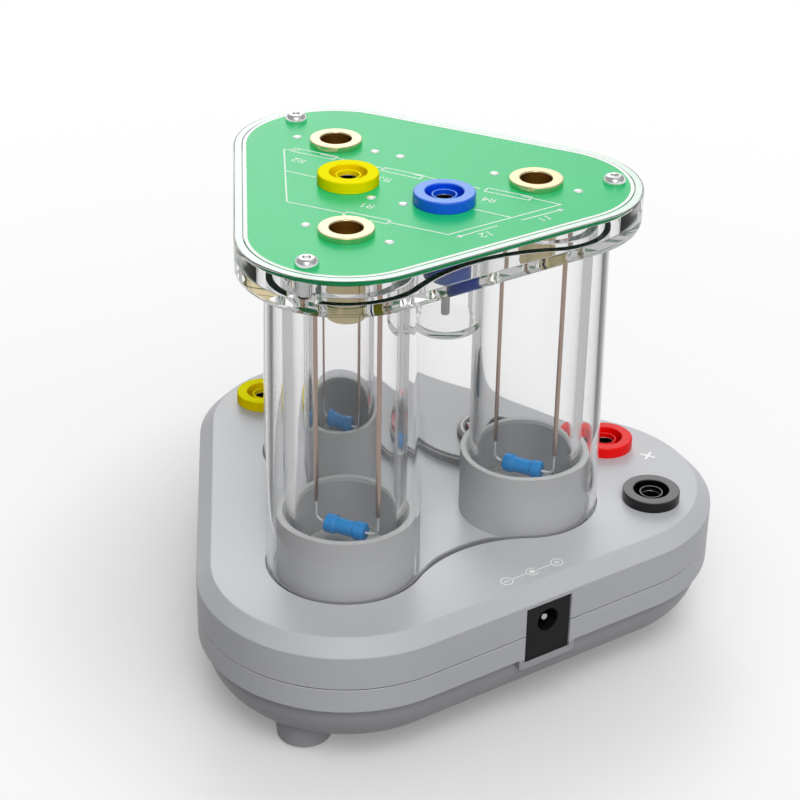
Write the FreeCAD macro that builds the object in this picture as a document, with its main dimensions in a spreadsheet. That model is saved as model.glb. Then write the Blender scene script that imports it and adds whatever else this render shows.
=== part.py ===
import FreeCAD, Part
import math
import os
import re

import Sketcher

# Resistor-heating demonstration tower. Millimetres, +Z up, the power inlet faces -Y.
# The origin is under the middle of the case, on the table.

doc = FreeCAD.newDocument("HeatingTower")
sheet = doc.addObject("Spreadsheet::Sheet", "Sheet")

sizes = {
    # case: a triangle with round corners, arcs centred baseArm from its middle
    "baseArm": 36.0,
    "cornerRadius": 33.0,
    "baseMiddleY": -9.0,
    "baseTop": 34.0,
    "seamHeight": 22.8,
    "skirtBottom": 16.8,
    "bellyBottom": 4.5,
    "bellyInset": 1.5,
    "bellyRound": 11.0,
    "cavityRound": 9.0,
    "shellWall": 2.2,
    "topThickness": 3.2,
    "edgeChamfer": 3.2,
    "seamChamfer": 0.25,
    "smallChamfer": 0.3,
    "slack": 0.1,
    # feet and case screws, on the rays to the three corners
    "footArm": 56.0,
    "footRadius": 6.3,
    "footTaper": 0.25,
    "footBottom": 0.5,
    "footTop": 6.6,
    "padRadius": 4.9,
    "padThickness": 1.6,
    "postArm": 42.0,
    "postRadius": 4.2,
    "postTop": 31.5,
    "pilotTop": 30.5,
    "screwRadius": 1.45,
    "screwHole": 1.5,
    "headSeat": 12.0,
    "headHole": 3.2,
    "caseHeadRadius": 2.75,
    "caseHeadHeight": 2.0,
    "caseScrewLength": 17.0,
    # three-lobed tower: chambers stand chamberArm from its axis
    "towerX": -7.45,
    "towerY": -13.3,
    "chamberArm": 27.7,
    "recessDepth": 1.6,
    "recessLobe": 17.6,
    "recessHollow": 29.0,
    "shellGap": 0.15,
    "shellDraft": 1.0,
    "clearWall": 1.4,
    "topHollow": 37.92,
    "sealThickness": 0.2,
    "cupRadius": 15.1,
    "cupHeight": 15.4,
    "cupBore": 13.2,
    "cupFunnel": 0.6,
    "cupFloor": 3.6,
    "tubeRadius": 13.1,
    "tubeBore": 11.1,
    # tray and board
    "boardArm": 28.16,
    "boardRadius": 20.35,
    "boardThickness": 1.6,
    "boardTop": 112.2,
    "trayMargin": 2.1,
    "trayBottom": 103.85,
    "trayFloor": 1.5,
    "trayRound": 1.8,
    "cavityMargin": 2.3,
    "bossArm": 44.5,
    "bossRadius": 3.3,
    "boardHole": 1.6,
    "boardScrewLength": 6.0,
    "buttonRadius": 2.45,
    "buttonHeight": 1.65,
    "buttonCrown": 1.35,
    "buttonShoulder": 2.05,
    "shoulderHeight": 1.0,
    "hexSocket": 1.1,
    "hexDepth": 0.9,
    "wellRadius": 8.2,
    "wellWall": 1.2,
    "wellBottom": 84.2,
    # brass ports
    "portFlange": 5.8,
    "portFlangeHeight": 1.35,
    "portBarrel": 4.0,
    "portBore": 3.45,
    "portLength": 18.0,
    "portNut": 6.0,
    "portNutHeight": 1.6,
    # rods, resistors and their leads
    "rodRadius": 0.5,
    "rodReach": 7.5,
    "rodBottom": 47.8,
    "resistorHeight": 43.0,
    "resistorLength": 9.6,
    "resistorWaist": 1.8,
    "resistorBulge": 2.15,
    "bulgeLength": 2.3,
    "leadRadius": 0.3,
    "leadBend": 1.6,
    # 4 mm safety sockets
    "flangeRadius": 6.6,
    "flangeHeight": 2.6,
    "barrelRadius": 4.8,
    "barrelDepth": 17.0,
    "shroudRadius": 4.05,
    "shroudDepth": 12.0,
    "coreRadius": 2.75,
    "coreBore": 2.32,
    "coreDrop": 0.7,
    "sleeveRadius": 2.3,
    "sleeveBore": 2.03,
    "sleeveDrop": 1.7,
    "sleeveFloor": 1.0,
    "barrelFloor": 3.0,
    "tailRadius": 1.0,
    "tailHole": 1.05,
    "tailLength": 8.5,
    "nutRadius": 6.9,
    "nutHeight": 2.2,
    "boardYellowX": -17.08,
    "boardYellowY": -5.54,
    "boardBlueX": -5.82,
    "boardBlueY": -24.96,
    "baseBlackX": 41.4,
    "baseBlackY": -44.1,
    "baseRedX": 47.94,
    "baseRedY": -19.09,
    "baseYellowX": -9.7,
    "baseYellowY": 44.6,
    # round rocker switch
    "switchX": 27.6,
    "switchY": 2.0,
    "bezelRadius": 8.0,
    "bezelHeight": 2.0,
    "bezelRound": 0.8,
    "switchBarrel": 6.9,
    "switchDepth": 14.0,
    "switchBore": 5.9,
    "switchBoreDepth": 6.5,
    "rockerRadius": 5.4,
    "rockerMiddle": 0.3,
    "rockerWing": 1.25,
    "rockerSkirt": 1.0,
    "rockerKeel": 2.6,
    "keelHalf": 2.5,
    "pivotDrop": 1.3,
    "pivotRadius": 0.8,
    "pivotHole": 0.85,
    "pivotHalf": 6.4,
    "terminalThickness": 0.8,
    "terminalWidth": 4.8,
    "terminalLength": 7.0,
    "terminalReach": 3.0,
    # barrel power inlet in the front wall
    "jackWidth": 12.1,
    "jackHeight": 14.0,
    "jackDepth": 13.0,
    "jackBottom": 15.75,
    "jackSetback": 0.3,
    "jackHoleHeight": 25.0,
    "jackHoleRadius": 2.7,
    "jackHoleDepth": 9.7,
    "jackPinRadius": 1.0,
    "jackPinSetback": 1.0,
    "jackPinRoot": 1.0,
    "frameWidth": 15.1,
    "frameBottom": 14.3,
    "frameDepth": 2.5,
    "frameRound": 0.9,
    # board that carries the inlet
    "supplyWidth": 26.0,
    "supplyLength": 22.0,
    "supplyThickness": 1.6,
    "supplyGap": 0.5,
    "supplyPostRadius": 2.2,
    "supplyPostInset": 2.6,
}

for row, (alias, value) in enumerate(sizes.items(), 1):
    sheet.set("A%d" % row, alias)
    sheet.set("B%d" % row, str(value))
    sheet.setAlias("B%d" % row, alias)
doc.recompute()

corners = {"back": 90, "front_left": 210, "right": 330}
subParts = []


def sized(text):
    """The expression with each size's name pointing at the sheet."""
    return re.sub(r"[A-Za-z]+", lambda m: "Sheet." + m[0] if m[0] in sizes else m[0], str(text))


def value(text):
    return float(sheet.evalExpression(sized(text)))


def bind(item, **places):
    """Tie properties to sheet expressions; x, y and z are the item's place."""
    for name, text in places.items():
        name = "Placement.Base." + name if name in ("x", "y", "z") else name
        item.setExpression(name, sized(text))
    return item


def keep(item, label):
    item.Label = label
    subParts.append(item)
    return item


def around(deg, arm, centreX="towerX", centreY="towerY"):
    """The place at a distance arm from a centre, in direction deg."""
    return ("%s + (%s) * cos(%d deg)" % (centreX, arm, deg),
            "%s + (%s) * sin(%d deg)" % (centreY, arm, deg))


# Primitives and booleans
def cylinder(radius, height, x="0", y="0", z="0"):
    return bind(doc.addObject("Part::Cylinder", "Cylinder"), Radius=radius, Height=height, x=x, y=y, z=z)


def cone(lower, upper, height, x="0", y="0", z="0"):
    return bind(doc.addObject("Part::Cone", "Cone"), Radius1=lower, Radius2=upper, Height=height,
                x=x, y=y, z=z)


def box(wide, deep, high, x, y, z):
    """A box whose x and y name its middle and z its underside."""
    return bind(doc.addObject("Part::Box", "Box"), Length=wide, Width=deep, Height=high,
                x="%s - (%s) / 2" % (x, wide), y="%s - (%s) / 2" % (y, deep), z=z)


def hexagon(radius, height, x, y, z):
    item = doc.addObject("Part::Prism", "Hexagon")
    item.Polygon = 6
    return bind(item, Circumradius=radius, Height=height, x=x, y=y, z=z)


def fuse(*shapes):
    item = doc.addObject("Part::MultiFuse", "Fusion")
    item.Shapes = list(shapes)
    return item


def cut(base, *tools):
    item = doc.addObject("Part::Cut", "Cut")
    item.Base = base
    item.Tool = tools[0] if len(tools) == 1 else fuse(*tools)
    return item


def common(base, tool):
    item = doc.addObject("Part::Common", "Common")
    item.Base = base
    item.Tool = tool
    return item


def group(*shapes):
    item = doc.addObject("Part::Compound", "Group")
    item.Links = list(shapes)
    return item


# Sketches
def newBody(name):
    return doc.addObject("PartDesign::Body", name)


def newSketch(body, role="XY_Plane", height=None, x=None, y=None):
    sketch = body.newObject("Sketcher::SketchObject", "Sketch")
    plane = next(item for item in body.Origin.OriginFeatures if item.Role == role)
    sketch.AttachmentSupport = [(plane, "")]
    sketch.MapMode = "FlatFace"
    for axis, text in (("x", x), ("y", y), ("z", height)):
        if text is not None:
            sketch.setExpression("AttachmentOffset.Base." + axis, sized(text))
    return sketch


def fix(sketch, kind, text, *where):
    """A named dimension of the sketch, bound to its expression."""
    amount = value(text)
    if kind in ("DistanceX", "DistanceY") and abs(amount) < 1e-9:
        return sketch.addConstraint(
            Sketcher.Constraint("PointOnObject", *where, -2 if kind == "DistanceX" else -1))
    if kind in ("DistanceX", "DistanceY"):
        ends = (-1, 1) + where if amount > 0 else where + (-1, 1)
        text = text if amount > 0 else "-(%s)" % text
        index = sketch.addConstraint(Sketcher.Constraint(kind, *ends, abs(amount)))
    else:
        index = sketch.addConstraint(Sketcher.Constraint(kind, *where, amount))
    sketch.setExpression("Constraints[%d]" % index, sized(text))
    return index


def addArc(sketch, centre, radius, start, end):
    circle = Part.Circle(FreeCAD.Vector(*centre, 0), FreeCAD.Vector(0, 0, 1), radius)
    return sketch.addGeometry(Part.ArcOfCircle(circle, math.radians(start), math.radians(end)))


def addLine(sketch, start, end):
    return sketch.addGeometry(Part.LineSegment(FreeCAD.Vector(*start, 0), FreeCAD.Vector(*end, 0)))


def onRay(arm, deg):
    return (arm * math.cos(math.radians(deg)), arm * math.sin(math.radians(deg)))


def triangleSketch(body, arm, radius, height):
    """A triangle with round corners: arcs of the radius, centred at arm on the three rays."""
    sketch = newSketch(body, height=height)
    reach, bend = value(arm), value(radius)
    angles = (90, 210, 330)
    arcs = [addArc(sketch, onRay(reach, deg), bend, deg - 60, deg + 60) for deg in angles]
    for index, deg in enumerate(angles):
        following = angles[(index + 1) % 3]
        start = [sum(pair) for pair in zip(onRay(reach, deg), onRay(bend, deg + 60))]
        end = [sum(pair) for pair in zip(onRay(reach, following), onRay(bend, following - 60))]
        line = addLine(sketch, start, end)
        sketch.addConstraint(Sketcher.Constraint("Tangent", arcs[index], 2, line, 1))
        sketch.addConstraint(Sketcher.Constraint("Tangent", line, 2, arcs[(index + 1) % 3], 1))
    for arc, deg in zip(arcs, angles):
        fix(sketch, "DistanceX", "(%s) * cos(%d deg)" % (arm, deg), arc, 3)
        fix(sketch, "DistanceY", "(%s) * sin(%d deg)" % (arm, deg), arc, 3)
        fix(sketch, "Radius", radius, arc)
    return sketch


def lobedSketch(body, inset, height, x=None, y=None, hollowSize="recessHollow"):
    """Three lobes about the chambers joined by hollow arcs, inset from their full outline."""
    sketch = newSketch(body, height=height, x=x, y=y)
    arm = value("chamberArm")
    lobe = value("recessLobe - (%s)" % inset)
    hollow = value("%s + (%s)" % (hollowSize, inset))
    # a hollow's centre is on the ray between two lobes, lobe + hollow away from both
    reach = arm / 2 + math.sqrt((lobe + hollow) ** 2 - 0.75 * arm ** 2)
    turn = math.degrees(math.atan2(reach * math.sin(math.radians(60)),
                                   reach * math.cos(math.radians(60)) - arm))
    angles = (90, 210, 330)
    lobes = [addArc(sketch, onRay(arm, deg), lobe, deg - turn, deg + turn) for deg in angles]
    for index, deg in enumerate(angles):
        half = turn - 60
        middle = deg + 60 + 180
        arc = addArc(sketch, onRay(reach, deg + 60), hollow, middle - half, middle + half)
        sketch.addConstraint(Sketcher.Constraint("Tangent", lobes[index], 2, arc, 2))
        sketch.addConstraint(Sketcher.Constraint("Tangent", arc, 1, lobes[(index + 1) % 3], 1))
        fix(sketch, "Radius", "%s + (%s)" % (hollowSize, inset), arc)
    for arc, deg in zip(lobes, angles):
        fix(sketch, "DistanceX", "chamberArm * cos(%d deg)" % deg, arc, 3)
        fix(sketch, "DistanceY", "chamberArm * sin(%d deg)" % deg, arc, 3)
        fix(sketch, "Radius", "recessLobe - (%s)" % inset, arc)
    return sketch


def outlineSketch(body, points, role="XZ_Plane"):
    """A closed outline through points, each a pair of expressions."""
    sketch = newSketch(body, role)
    places = [(value(across), value(up)) for across, up in points]
    count = len(points)
    for index in range(count):
        addLine(sketch, places[index], places[(index + 1) % count])
    for index in range(count):
        sketch.addConstraint(Sketcher.Constraint("Coincident", index, 2, (index + 1) % count, 1))
    for index, (across, up) in enumerate(points):
        fix(sketch, "DistanceX", across, index, 1)
        fix(sketch, "DistanceY", up, index, 1)
    return sketch


def pad(body, sketch, length):
    item = body.newObject("PartDesign::Pad", "Pad")
    item.Profile = sketch
    return bind(item, Length=length)


def pocket(body, sketch, length, upward=True):
    item = body.newObject("PartDesign::Pocket", "Pocket")
    item.Profile = sketch
    item.Reversed = upward
    return bind(item, Length=length)


def lathe(points, x="0", y="0", z="0"):
    """A round piece: the outline of (radius, height) points turned about its own upright axis."""
    body = newBody("Turned")
    sketch = outlineSketch(body, points)
    turn = body.newObject("PartDesign::Revolution", "Revolution")
    turn.Profile = sketch
    turn.ReferenceAxis = (sketch, ["V_Axis"])
    turn.Angle = 360
    return bind(body, x=x, y=y, z=z)


def edgesAt(feature, height):
    """Names of the feature's level edges at a height."""
    names = []
    for index, edge in enumerate(feature.Shape.Edges, 1):
        limits = edge.BoundBox
        if abs(limits.ZMin - height) < 1e-4 and abs(limits.ZMax - height) < 1e-4:
            names.append("Edge%d" % index)
    return names


def dress(body, kind, feature, height, size):
    """A fillet or chamfer along the level edges at a height."""
    doc.recompute()
    item = body.newObject("PartDesign::" + kind, kind)
    item.Base = (feature, edgesAt(feature, value(height)))
    item.setExpression("Radius" if kind == "Fillet" else "Size", sized(size))
    return item


# 4 mm safety sockets
socketPlaces = {
    "board_yellow": ("boardYellowX", "boardYellowY", "boardTop", "boardThickness"),
    "board_blue": ("boardBlueX", "boardBlueY", "boardTop", "boardThickness"),
    "base_yellow": ("baseYellowX", "baseYellowY", "baseTop", "topThickness"),
    "base_red": ("baseRedX", "baseRedY", "baseTop", "topThickness"),
    "base_black": ("baseBlackX", "baseBlackY", "baseTop", "topThickness"),
}


def makeSockets():
    """Each socket: a shrouded housing, a closed metal sleeve with its solder tail, and a nut."""
    top = "barrelDepth + flangeHeight"
    nuts = []
    for name, (x, y, face, plate) in socketPlaces.items():
        housing = lathe([
            ("tailHole", "0"),
            ("barrelRadius", "0"),
            ("barrelRadius", "barrelDepth"),
            ("flangeRadius", "barrelDepth"),
            ("flangeRadius", top + " - smallChamfer"),
            ("flangeRadius - smallChamfer", top),
            ("shroudRadius + smallChamfer", top),
            ("shroudRadius", top + " - smallChamfer"),
            ("shroudRadius", top + " - shroudDepth"),
            ("coreRadius", top + " - shroudDepth"),
            ("coreRadius", top + " - coreDrop"),
            ("coreBore", top + " - coreDrop"),
            ("coreBore", "barrelFloor"),
            ("tailHole", "barrelFloor"),
        ], x, y, face + " - barrelDepth")
        keep(housing, name + "_socket")
        sleeve = lathe([
            ("0", "0"),
            ("tailRadius", "0"),
            ("tailRadius", "tailLength + barrelFloor"),
            ("sleeveRadius", "tailLength + barrelFloor"),
            ("sleeveRadius", "tailLength + " + top + " - sleeveDrop"),
            ("sleeveBore", "tailLength + " + top + " - sleeveDrop"),
            ("sleeveBore", "tailLength + barrelFloor + sleeveFloor"),
            ("0", "tailLength + barrelFloor + sleeveFloor"),
        ], x, y, face + " - barrelDepth - tailLength")
        keep(sleeve, name + "_sleeve")
        under = "%s - %s - nutHeight" % (face, plate)
        nuts.append(cut(hexagon("nutRadius", "nutHeight", x, y, under),
                        cylinder("barrelRadius + slack / 2", "nutHeight", x, y, under)))
    keep(group(*nuts), "socket_nuts")


# Case
def makeUpperShell():
    """The case's upper half: hollow, with the tower's recess and the holes for all it carries."""
    body = bind(newBody("UpperShell"), y="baseMiddleY")
    block = pad(body, triangleSketch(body, "baseArm", "cornerRadius", "seamHeight"),
                "baseTop - seamHeight")
    edged = dress(body, "Chamfer", block, "baseTop", "edgeChamfer")
    dress(body, "Chamfer", edged, "seamHeight", "seamChamfer")
    pocket(body, triangleSketch(body, "baseArm", "cornerRadius - shellWall", "seamHeight"),
           "baseTop - topThickness - seamHeight")
    recess = lobedSketch(body, "0", "baseTop - recessDepth", "towerX", "towerY - baseMiddleY")
    pocket(body, recess, "recessDepth")
    posts = []
    holes = []
    for deg in corners.values():
        x, y = around(deg, "postArm", "0", "baseMiddleY")
        posts.append(cylinder("postRadius", "postTop - seamHeight", x, y, "seamHeight"))
        holes.append(cylinder("screwHole", "pilotTop - seamHeight", x, y, "seamHeight"))
    for x, y, *rest in list(socketPlaces.values())[2:]:
        holes.append(cylinder("barrelRadius + slack", "topThickness * 2", x, y, "baseTop - topThickness * 1.5"))
    holes.append(cylinder("switchBarrel + slack", "topThickness * 2", "switchX", "switchY",
                          "baseTop - topThickness * 1.5"))
    holes.append(jackOpening())
    keep(cut(fuse(body, *posts), *holes), "base_upper_shell")


def jackOpening():
    return box("jackWidth + slack * 2", "jackDepth", "jackHeight + slack * 2", "0",
               "baseMiddleY - baseArm / 2 - cornerRadius", "jackBottom - slack")


def makeLowerShell():
    """The case's lower half: a straight band over a round-edged belly, with the inlet's frame."""
    front = "baseMiddleY - baseArm / 2 - cornerRadius"
    body = bind(newBody("LowerShell"), y="baseMiddleY")
    belly = pad(body, triangleSketch(body, "baseArm", "cornerRadius - bellyInset", "bellyBottom"),
                "seamHeight - bellyBottom")
    dress(body, "Fillet", belly, "bellyBottom", "bellyRound")
    band = pad(body, triangleSketch(body, "baseArm", "cornerRadius", "skirtBottom"),
               "seamHeight - skirtBottom")
    dress(body, "Chamfer", band, "seamHeight", "seamChamfer")
    cavity = bind(newBody("Cavity"), y="baseMiddleY")
    inside = "cornerRadius - bellyInset - shellWall"
    hollow = pad(cavity, triangleSketch(cavity, "baseArm", inside, "bellyBottom + shellWall"),
                 "seamHeight - bellyBottom")
    dress(cavity, "Fillet", hollow, "bellyBottom + shellWall", "cavityRound")
    frame = box("frameWidth", "frameDepth", "skirtBottom - frameBottom + shellWall / 2", "0",
                front + " + frameDepth / 2", "frameBottom")
    doc.recompute()
    rounded = doc.addObject("Part::Fillet", "FrameCorners")
    rounded.Base = frame
    low = [index for index, edge in enumerate(frame.Shape.Edges, 1)
           if edge.BoundBox.YLength > 1 and abs(edge.BoundBox.ZMax - value("frameBottom")) < 1e-4]
    rounded.Edges = [(index, value("frameRound"), value("frameRound")) for index in low]
    added = [rounded]
    holes = [jackOpening()]
    for deg in corners.values():
        x, y = around(deg, "footArm", "0", "baseMiddleY")
        added.append(cone("footRadius - footTaper", "footRadius + footTaper", "footTop - footBottom",
                          x, y, "footBottom"))
        holes.append(cylinder("padRadius + slack", "padThickness", x, y, "0"))
        x, y = around(deg, "postArm", "0", "baseMiddleY")
        added.append(cylinder("postRadius", "seamHeight - bellyBottom - shellWall / 2", x, y,
                              "bellyBottom + shellWall / 2"))
        holes.append(cylinder("screwHole", "seamHeight", x, y, "0"))
        holes.append(cylinder("headHole", "headSeat", x, y, "0"))
    pillars = [cylinder("supplyPostRadius", "jackBottom - supplyThickness - bellyBottom", x, y, "bellyBottom")
               for x, y in supplyPosts()]
    added.append(common(body, fuse(*pillars)))
    keep(cut(fuse(cut(body, cavity), *added), *holes), "base_lower_shell")


def supplyMiddle():
    """The power board's middle, from the cavity's front wall."""
    inside = "baseMiddleY - baseArm / 2 - cornerRadius + bellyInset + shellWall"
    return inside + " + supplyGap + supplyLength / 2"


def supplyPosts():
    across = "supplyWidth / 2 - supplyPostInset"
    along = "supplyLength / 2 - supplyPostInset"
    return [("%s(%s)" % (sideX, across), "%s %s (%s)" % (supplyMiddle(), sideY, along))
            for sideX in ("", "-") for sideY in ("+", "-")]


def makeFeetAndScrews():
    screws = []
    for name, deg in corners.items():
        x, y = around(deg, "footArm", "0", "baseMiddleY")
        keep(lathe([("0", "0"), ("padRadius - smallChamfer", "0"), ("padRadius", "smallChamfer"),
                    ("padRadius", "padThickness"), ("0", "padThickness")], x, y), "foot_pad_" + name)
        x, y = around(deg, "postArm", "0", "baseMiddleY")
        screws.append(lathe([
            ("0", "0"), ("caseHeadRadius", "0"), ("caseHeadRadius", "caseHeadHeight"),
            ("screwRadius", "caseHeadHeight"), ("screwRadius", "caseHeadHeight + caseScrewLength"),
            ("0", "caseHeadHeight + caseScrewLength")], x, y, "headSeat - caseHeadHeight"))
    keep(group(*screws), "case_screws")


def makeInlet():
    """The barrel inlet: a black block with a round mouth and a centre pin, on its small board."""
    front = "baseMiddleY - baseArm / 2 - cornerRadius + jackSetback"
    block = box("jackWidth", "jackDepth", "jackHeight", "0", front + " + jackDepth / 2", "jackBottom")

    def along(radius, length, start):
        item = cylinder(radius, length, "0", start, "jackHoleHeight")
        item.Placement.Rotation = FreeCAD.Rotation(FreeCAD.Vector(1, 0, 0), -90)
        return item

    pinEnd = front + " + jackPinSetback"
    pinLength = "jackHoleDepth - jackPinSetback + jackPinRoot"
    keep(cut(block, along("jackHoleRadius", "jackHoleDepth", front),
             along("jackPinRadius", pinLength, pinEnd)), "jack_body")
    keep(along("jackPinRadius", pinLength, pinEnd), "jack_pin")
    keep(box("supplyWidth", "supplyLength", "supplyThickness", "0", supplyMiddle(),
             "jackBottom - supplyThickness"), "power_board")


# Rocker switch
switchTurn = 30      # the rocker rocks towards the base's far side
restTilt = 10        # the outer wing is pressed down at rest


def makeSwitch():
    top = "switchDepth + bezelHeight"
    shell = lathe([
        ("0", "0"),
        ("switchBarrel", "0"),
        ("switchBarrel", "switchDepth"),
        ("bezelRadius", "switchDepth"),
        ("bezelRadius", top + " - bezelRound"),
        ("bezelRadius - bezelRound", top),
        ("switchBore + smallChamfer", top),
        ("switchBore", top + " - smallChamfer"),
        ("switchBore", top + " - switchBoreDepth"),
        ("0", top + " - switchBoreDepth"),
    ], "switchX", "switchY", "baseTop - switchDepth")
    turned = FreeCAD.Rotation(FreeCAD.Vector(0, 0, 1), switchTurn)
    lying = turned.multiply(FreeCAD.Rotation(FreeCAD.Vector(1, 0, 0), -90))

    def pivot(radius, half):
        item = cylinder(radius, half + " * 2", "switchX + (%s) * sin(%d deg)" % (half, switchTurn),
                        "switchY - (%s) * cos(%d deg)" % (half, switchTurn),
                        "baseTop + bezelHeight - pivotDrop")
        item.Placement.Rotation = lying
        return item

    keep(cut(shell, pivot("pivotRadius", "pivotHalf")), "switch_bezel")
    keep(pivot("pivotRadius", "pivotHalf"), "switch_pivot")

    body = newBody("RockerProfile")
    outline = outlineSketch(body, [
        ("-rockerRadius", "rockerWing"), ("-rockerRadius", "-rockerSkirt"),
        ("-keelHalf", "-rockerKeel"), ("keelHalf", "-rockerKeel"),
        ("rockerRadius", "-rockerSkirt"), ("rockerRadius", "rockerWing"), ("0", "rockerMiddle")])
    slab = pad(body, outline, "rockerRadius * 2")
    slab.Midplane = True
    doc.recompute()
    disc = cylinder("rockerRadius", "rockerRadius * 2", z="-rockerRadius")
    bore = cylinder("pivotHole", "rockerRadius * 4", y="-rockerRadius * 2")
    bore.Placement.Rotation = FreeCAD.Rotation(FreeCAD.Vector(1, 0, 0), -90)
    rocker = cut(common(body, disc), bore)
    rocker.Placement.Rotation = turned.multiply(FreeCAD.Rotation(FreeCAD.Vector(0, 1, 0), restTilt))
    bind(rocker, x="switchX", y="switchY", z="baseTop + bezelHeight - pivotDrop")
    keep(rocker, "switch_rocker")

    blades = []
    for side in (-1, 1):
        blade = bind(doc.addObject("Part::Box", "Blade"), Length="terminalThickness",
                     Width="terminalWidth", Height="terminalLength",
                     x="%d * terminalReach - terminalThickness / 2" % side, y="-terminalWidth / 2",
                     z="-terminalLength")
        blades.append(blade)
    pair = group(*blades)
    pair.Placement.Rotation = turned
    keep(bind(pair, x="switchX", y="switchY", z="baseTop - switchDepth"), "switch_terminals")


# Tower
def makeOuterShell():
    """The clear three-lobed wall, a little narrower at its top, and the thin seal on it."""
    body = bind(newBody("OuterShell"), x="towerX", y="towerY")
    low = "baseTop - recessDepth"
    high = "trayBottom - sealThickness"
    for kind, inset in (("AdditiveLoft", "shellGap"), ("SubtractiveLoft", "shellGap + clearWall")):
        lower = lobedSketch(body, inset, low)
        upper = lobedSketch(body, inset + " + shellDraft", high, hollowSize="topHollow")
        wall = body.newObject("PartDesign::" + kind, kind)
        wall.Profile = lower
        wall.Sections = [upper]
        wall.Ruled = True
    keep(body, "outer_shell")

    seal = bind(newBody("Seal"), x="towerX", y="towerY")
    for shape, inset in ((pad, "shellGap + shellDraft"), (pocket, "shellGap + shellDraft + clearWall")):
        shape(seal, lobedSketch(seal, inset, high, hollowSize="topHollow"), "sealThickness")
    keep(seal, "shell_seal")


def rodPlaces(x, y):
    """Where a chamber's two rods stand, either side of its axis."""
    return {side: ("%s %s rodReach * cos(60 deg)" % (x, across), "%s %s rodReach * sin(60 deg)" % (y, along))
            for side, across, along in (("far", "-", "+"), ("near", "+", "-"))}


def makeChambers():
    """In each chamber: a cup, a clear tube, a port, two rods, a resistor and its leads."""
    cupFloorTop = "baseTop - recessDepth + cupFloor"
    nuts = []
    for name, deg in corners.items():
        x, y = around(deg, "chamberArm")
        keep(lathe([
            ("0", "0"),
            ("cupRadius - smallChamfer", "0"),
            ("cupRadius", "smallChamfer"),
            ("cupRadius", "cupHeight - smallChamfer"),
            ("cupRadius - smallChamfer", "cupHeight"),
            ("cupBore + cupFunnel", "cupHeight"),
            ("cupBore", "cupHeight - cupFunnel"),
            ("cupBore", "cupFloor"),
            ("0", "cupFloor"),
        ], x, y, "baseTop - recessDepth"), "cup_" + name)
        tubeHeight = "trayBottom - slack - (%s)" % cupFloorTop
        tube = cut(cylinder("tubeRadius", tubeHeight), cylinder("tubeBore", tubeHeight))
        keep(bind(tube, x=x, y=y, z=cupFloorTop), "inner_tube_" + name)
        keep(lathe([
            ("portBore", "0"),
            ("portBarrel", "0"),
            ("portBarrel", "portLength"),
            ("portFlange", "portLength"),
            ("portFlange", "portLength + portFlangeHeight - smallChamfer"),
            ("portFlange - smallChamfer", "portLength + portFlangeHeight"),
            ("portBore + smallChamfer", "portLength + portFlangeHeight"),
            ("portBore", "portLength + portFlangeHeight - smallChamfer"),
        ], x, y, "boardTop - portLength"), "port_bushing_" + name)
        under = "boardTop - boardThickness - portNutHeight"
        nuts.append(cut(hexagon("portNut", "portNutHeight", x, y, under),
                        cylinder("portBarrel + slack / 2", "portNutHeight", x, y, under)))
        for side, place in rodPlaces(x, y).items():
            keep(cylinder("rodRadius", "boardTop - boardThickness - rodBottom", *place, "rodBottom"),
                 "rod_%s_%s" % (name, side))
        makeResistor(name, x, y)
    keep(group(*nuts), "port_nuts")


def makeResistor(name, x, y):
    """A dog-bone resistor lying between the rods, and two bent lead wires up to their ends."""
    along = FreeCAD.Rotation(FreeCAD.Vector(0, 0, 1), -60)
    flat = FreeCAD.Rotation(FreeCAD.Vector(0, 1, 0), 90)
    middle = cylinder("resistorWaist", "resistorLength - bulgeLength * 2",
                      x="-resistorLength / 2 + bulgeLength")
    middle.Placement.Rotation = flat
    bulges = []
    for side in (-1, 1):
        bulge = doc.addObject("Part::Ellipsoid", "Bulge")
        bind(bulge, Radius1="bulgeLength", Radius2="resistorBulge", Radius3="resistorBulge",
             x="%d * (resistorLength / 2 - bulgeLength)" % side)
        bulge.Placement.Rotation = flat
        bulges.append(bulge)
    core = fuse(middle, *bulges)
    core.Placement.Rotation = along
    keep(bind(core, x=x, y=y, z="resistorHeight"), "resistor_" + name)

    wires = []
    for side in (0, 180):
        level = cylinder("leadRadius", "rodReach - leadBend - resistorLength / 2", x="resistorLength / 2")
        level.Placement.Rotation = flat
        bend = doc.addObject("Part::Torus", "Bend")
        bind(bend, Radius1="leadBend", Radius2="leadRadius", x="rodReach - leadBend", z="leadBend")
        bend.Angle3 = 90
        bend.Placement.Rotation = FreeCAD.Rotation(FreeCAD.Vector(1, 0, 0), 90).multiply(
            FreeCAD.Rotation(FreeCAD.Vector(0, 0, 1), -90))
        rise = cylinder("leadRadius", "rodBottom - resistorHeight - leadBend", x="rodReach", z="leadBend")
        wire = fuse(level, bend, rise)
        wire.Placement.Rotation = FreeCAD.Rotation(FreeCAD.Vector(0, 0, 1), side)
        wires.append(wire)
    pair = group(*wires)
    pair.Placement.Rotation = along
    keep(bind(pair, x=x, y=y, z="resistorHeight"), "leads_" + name)


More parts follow.
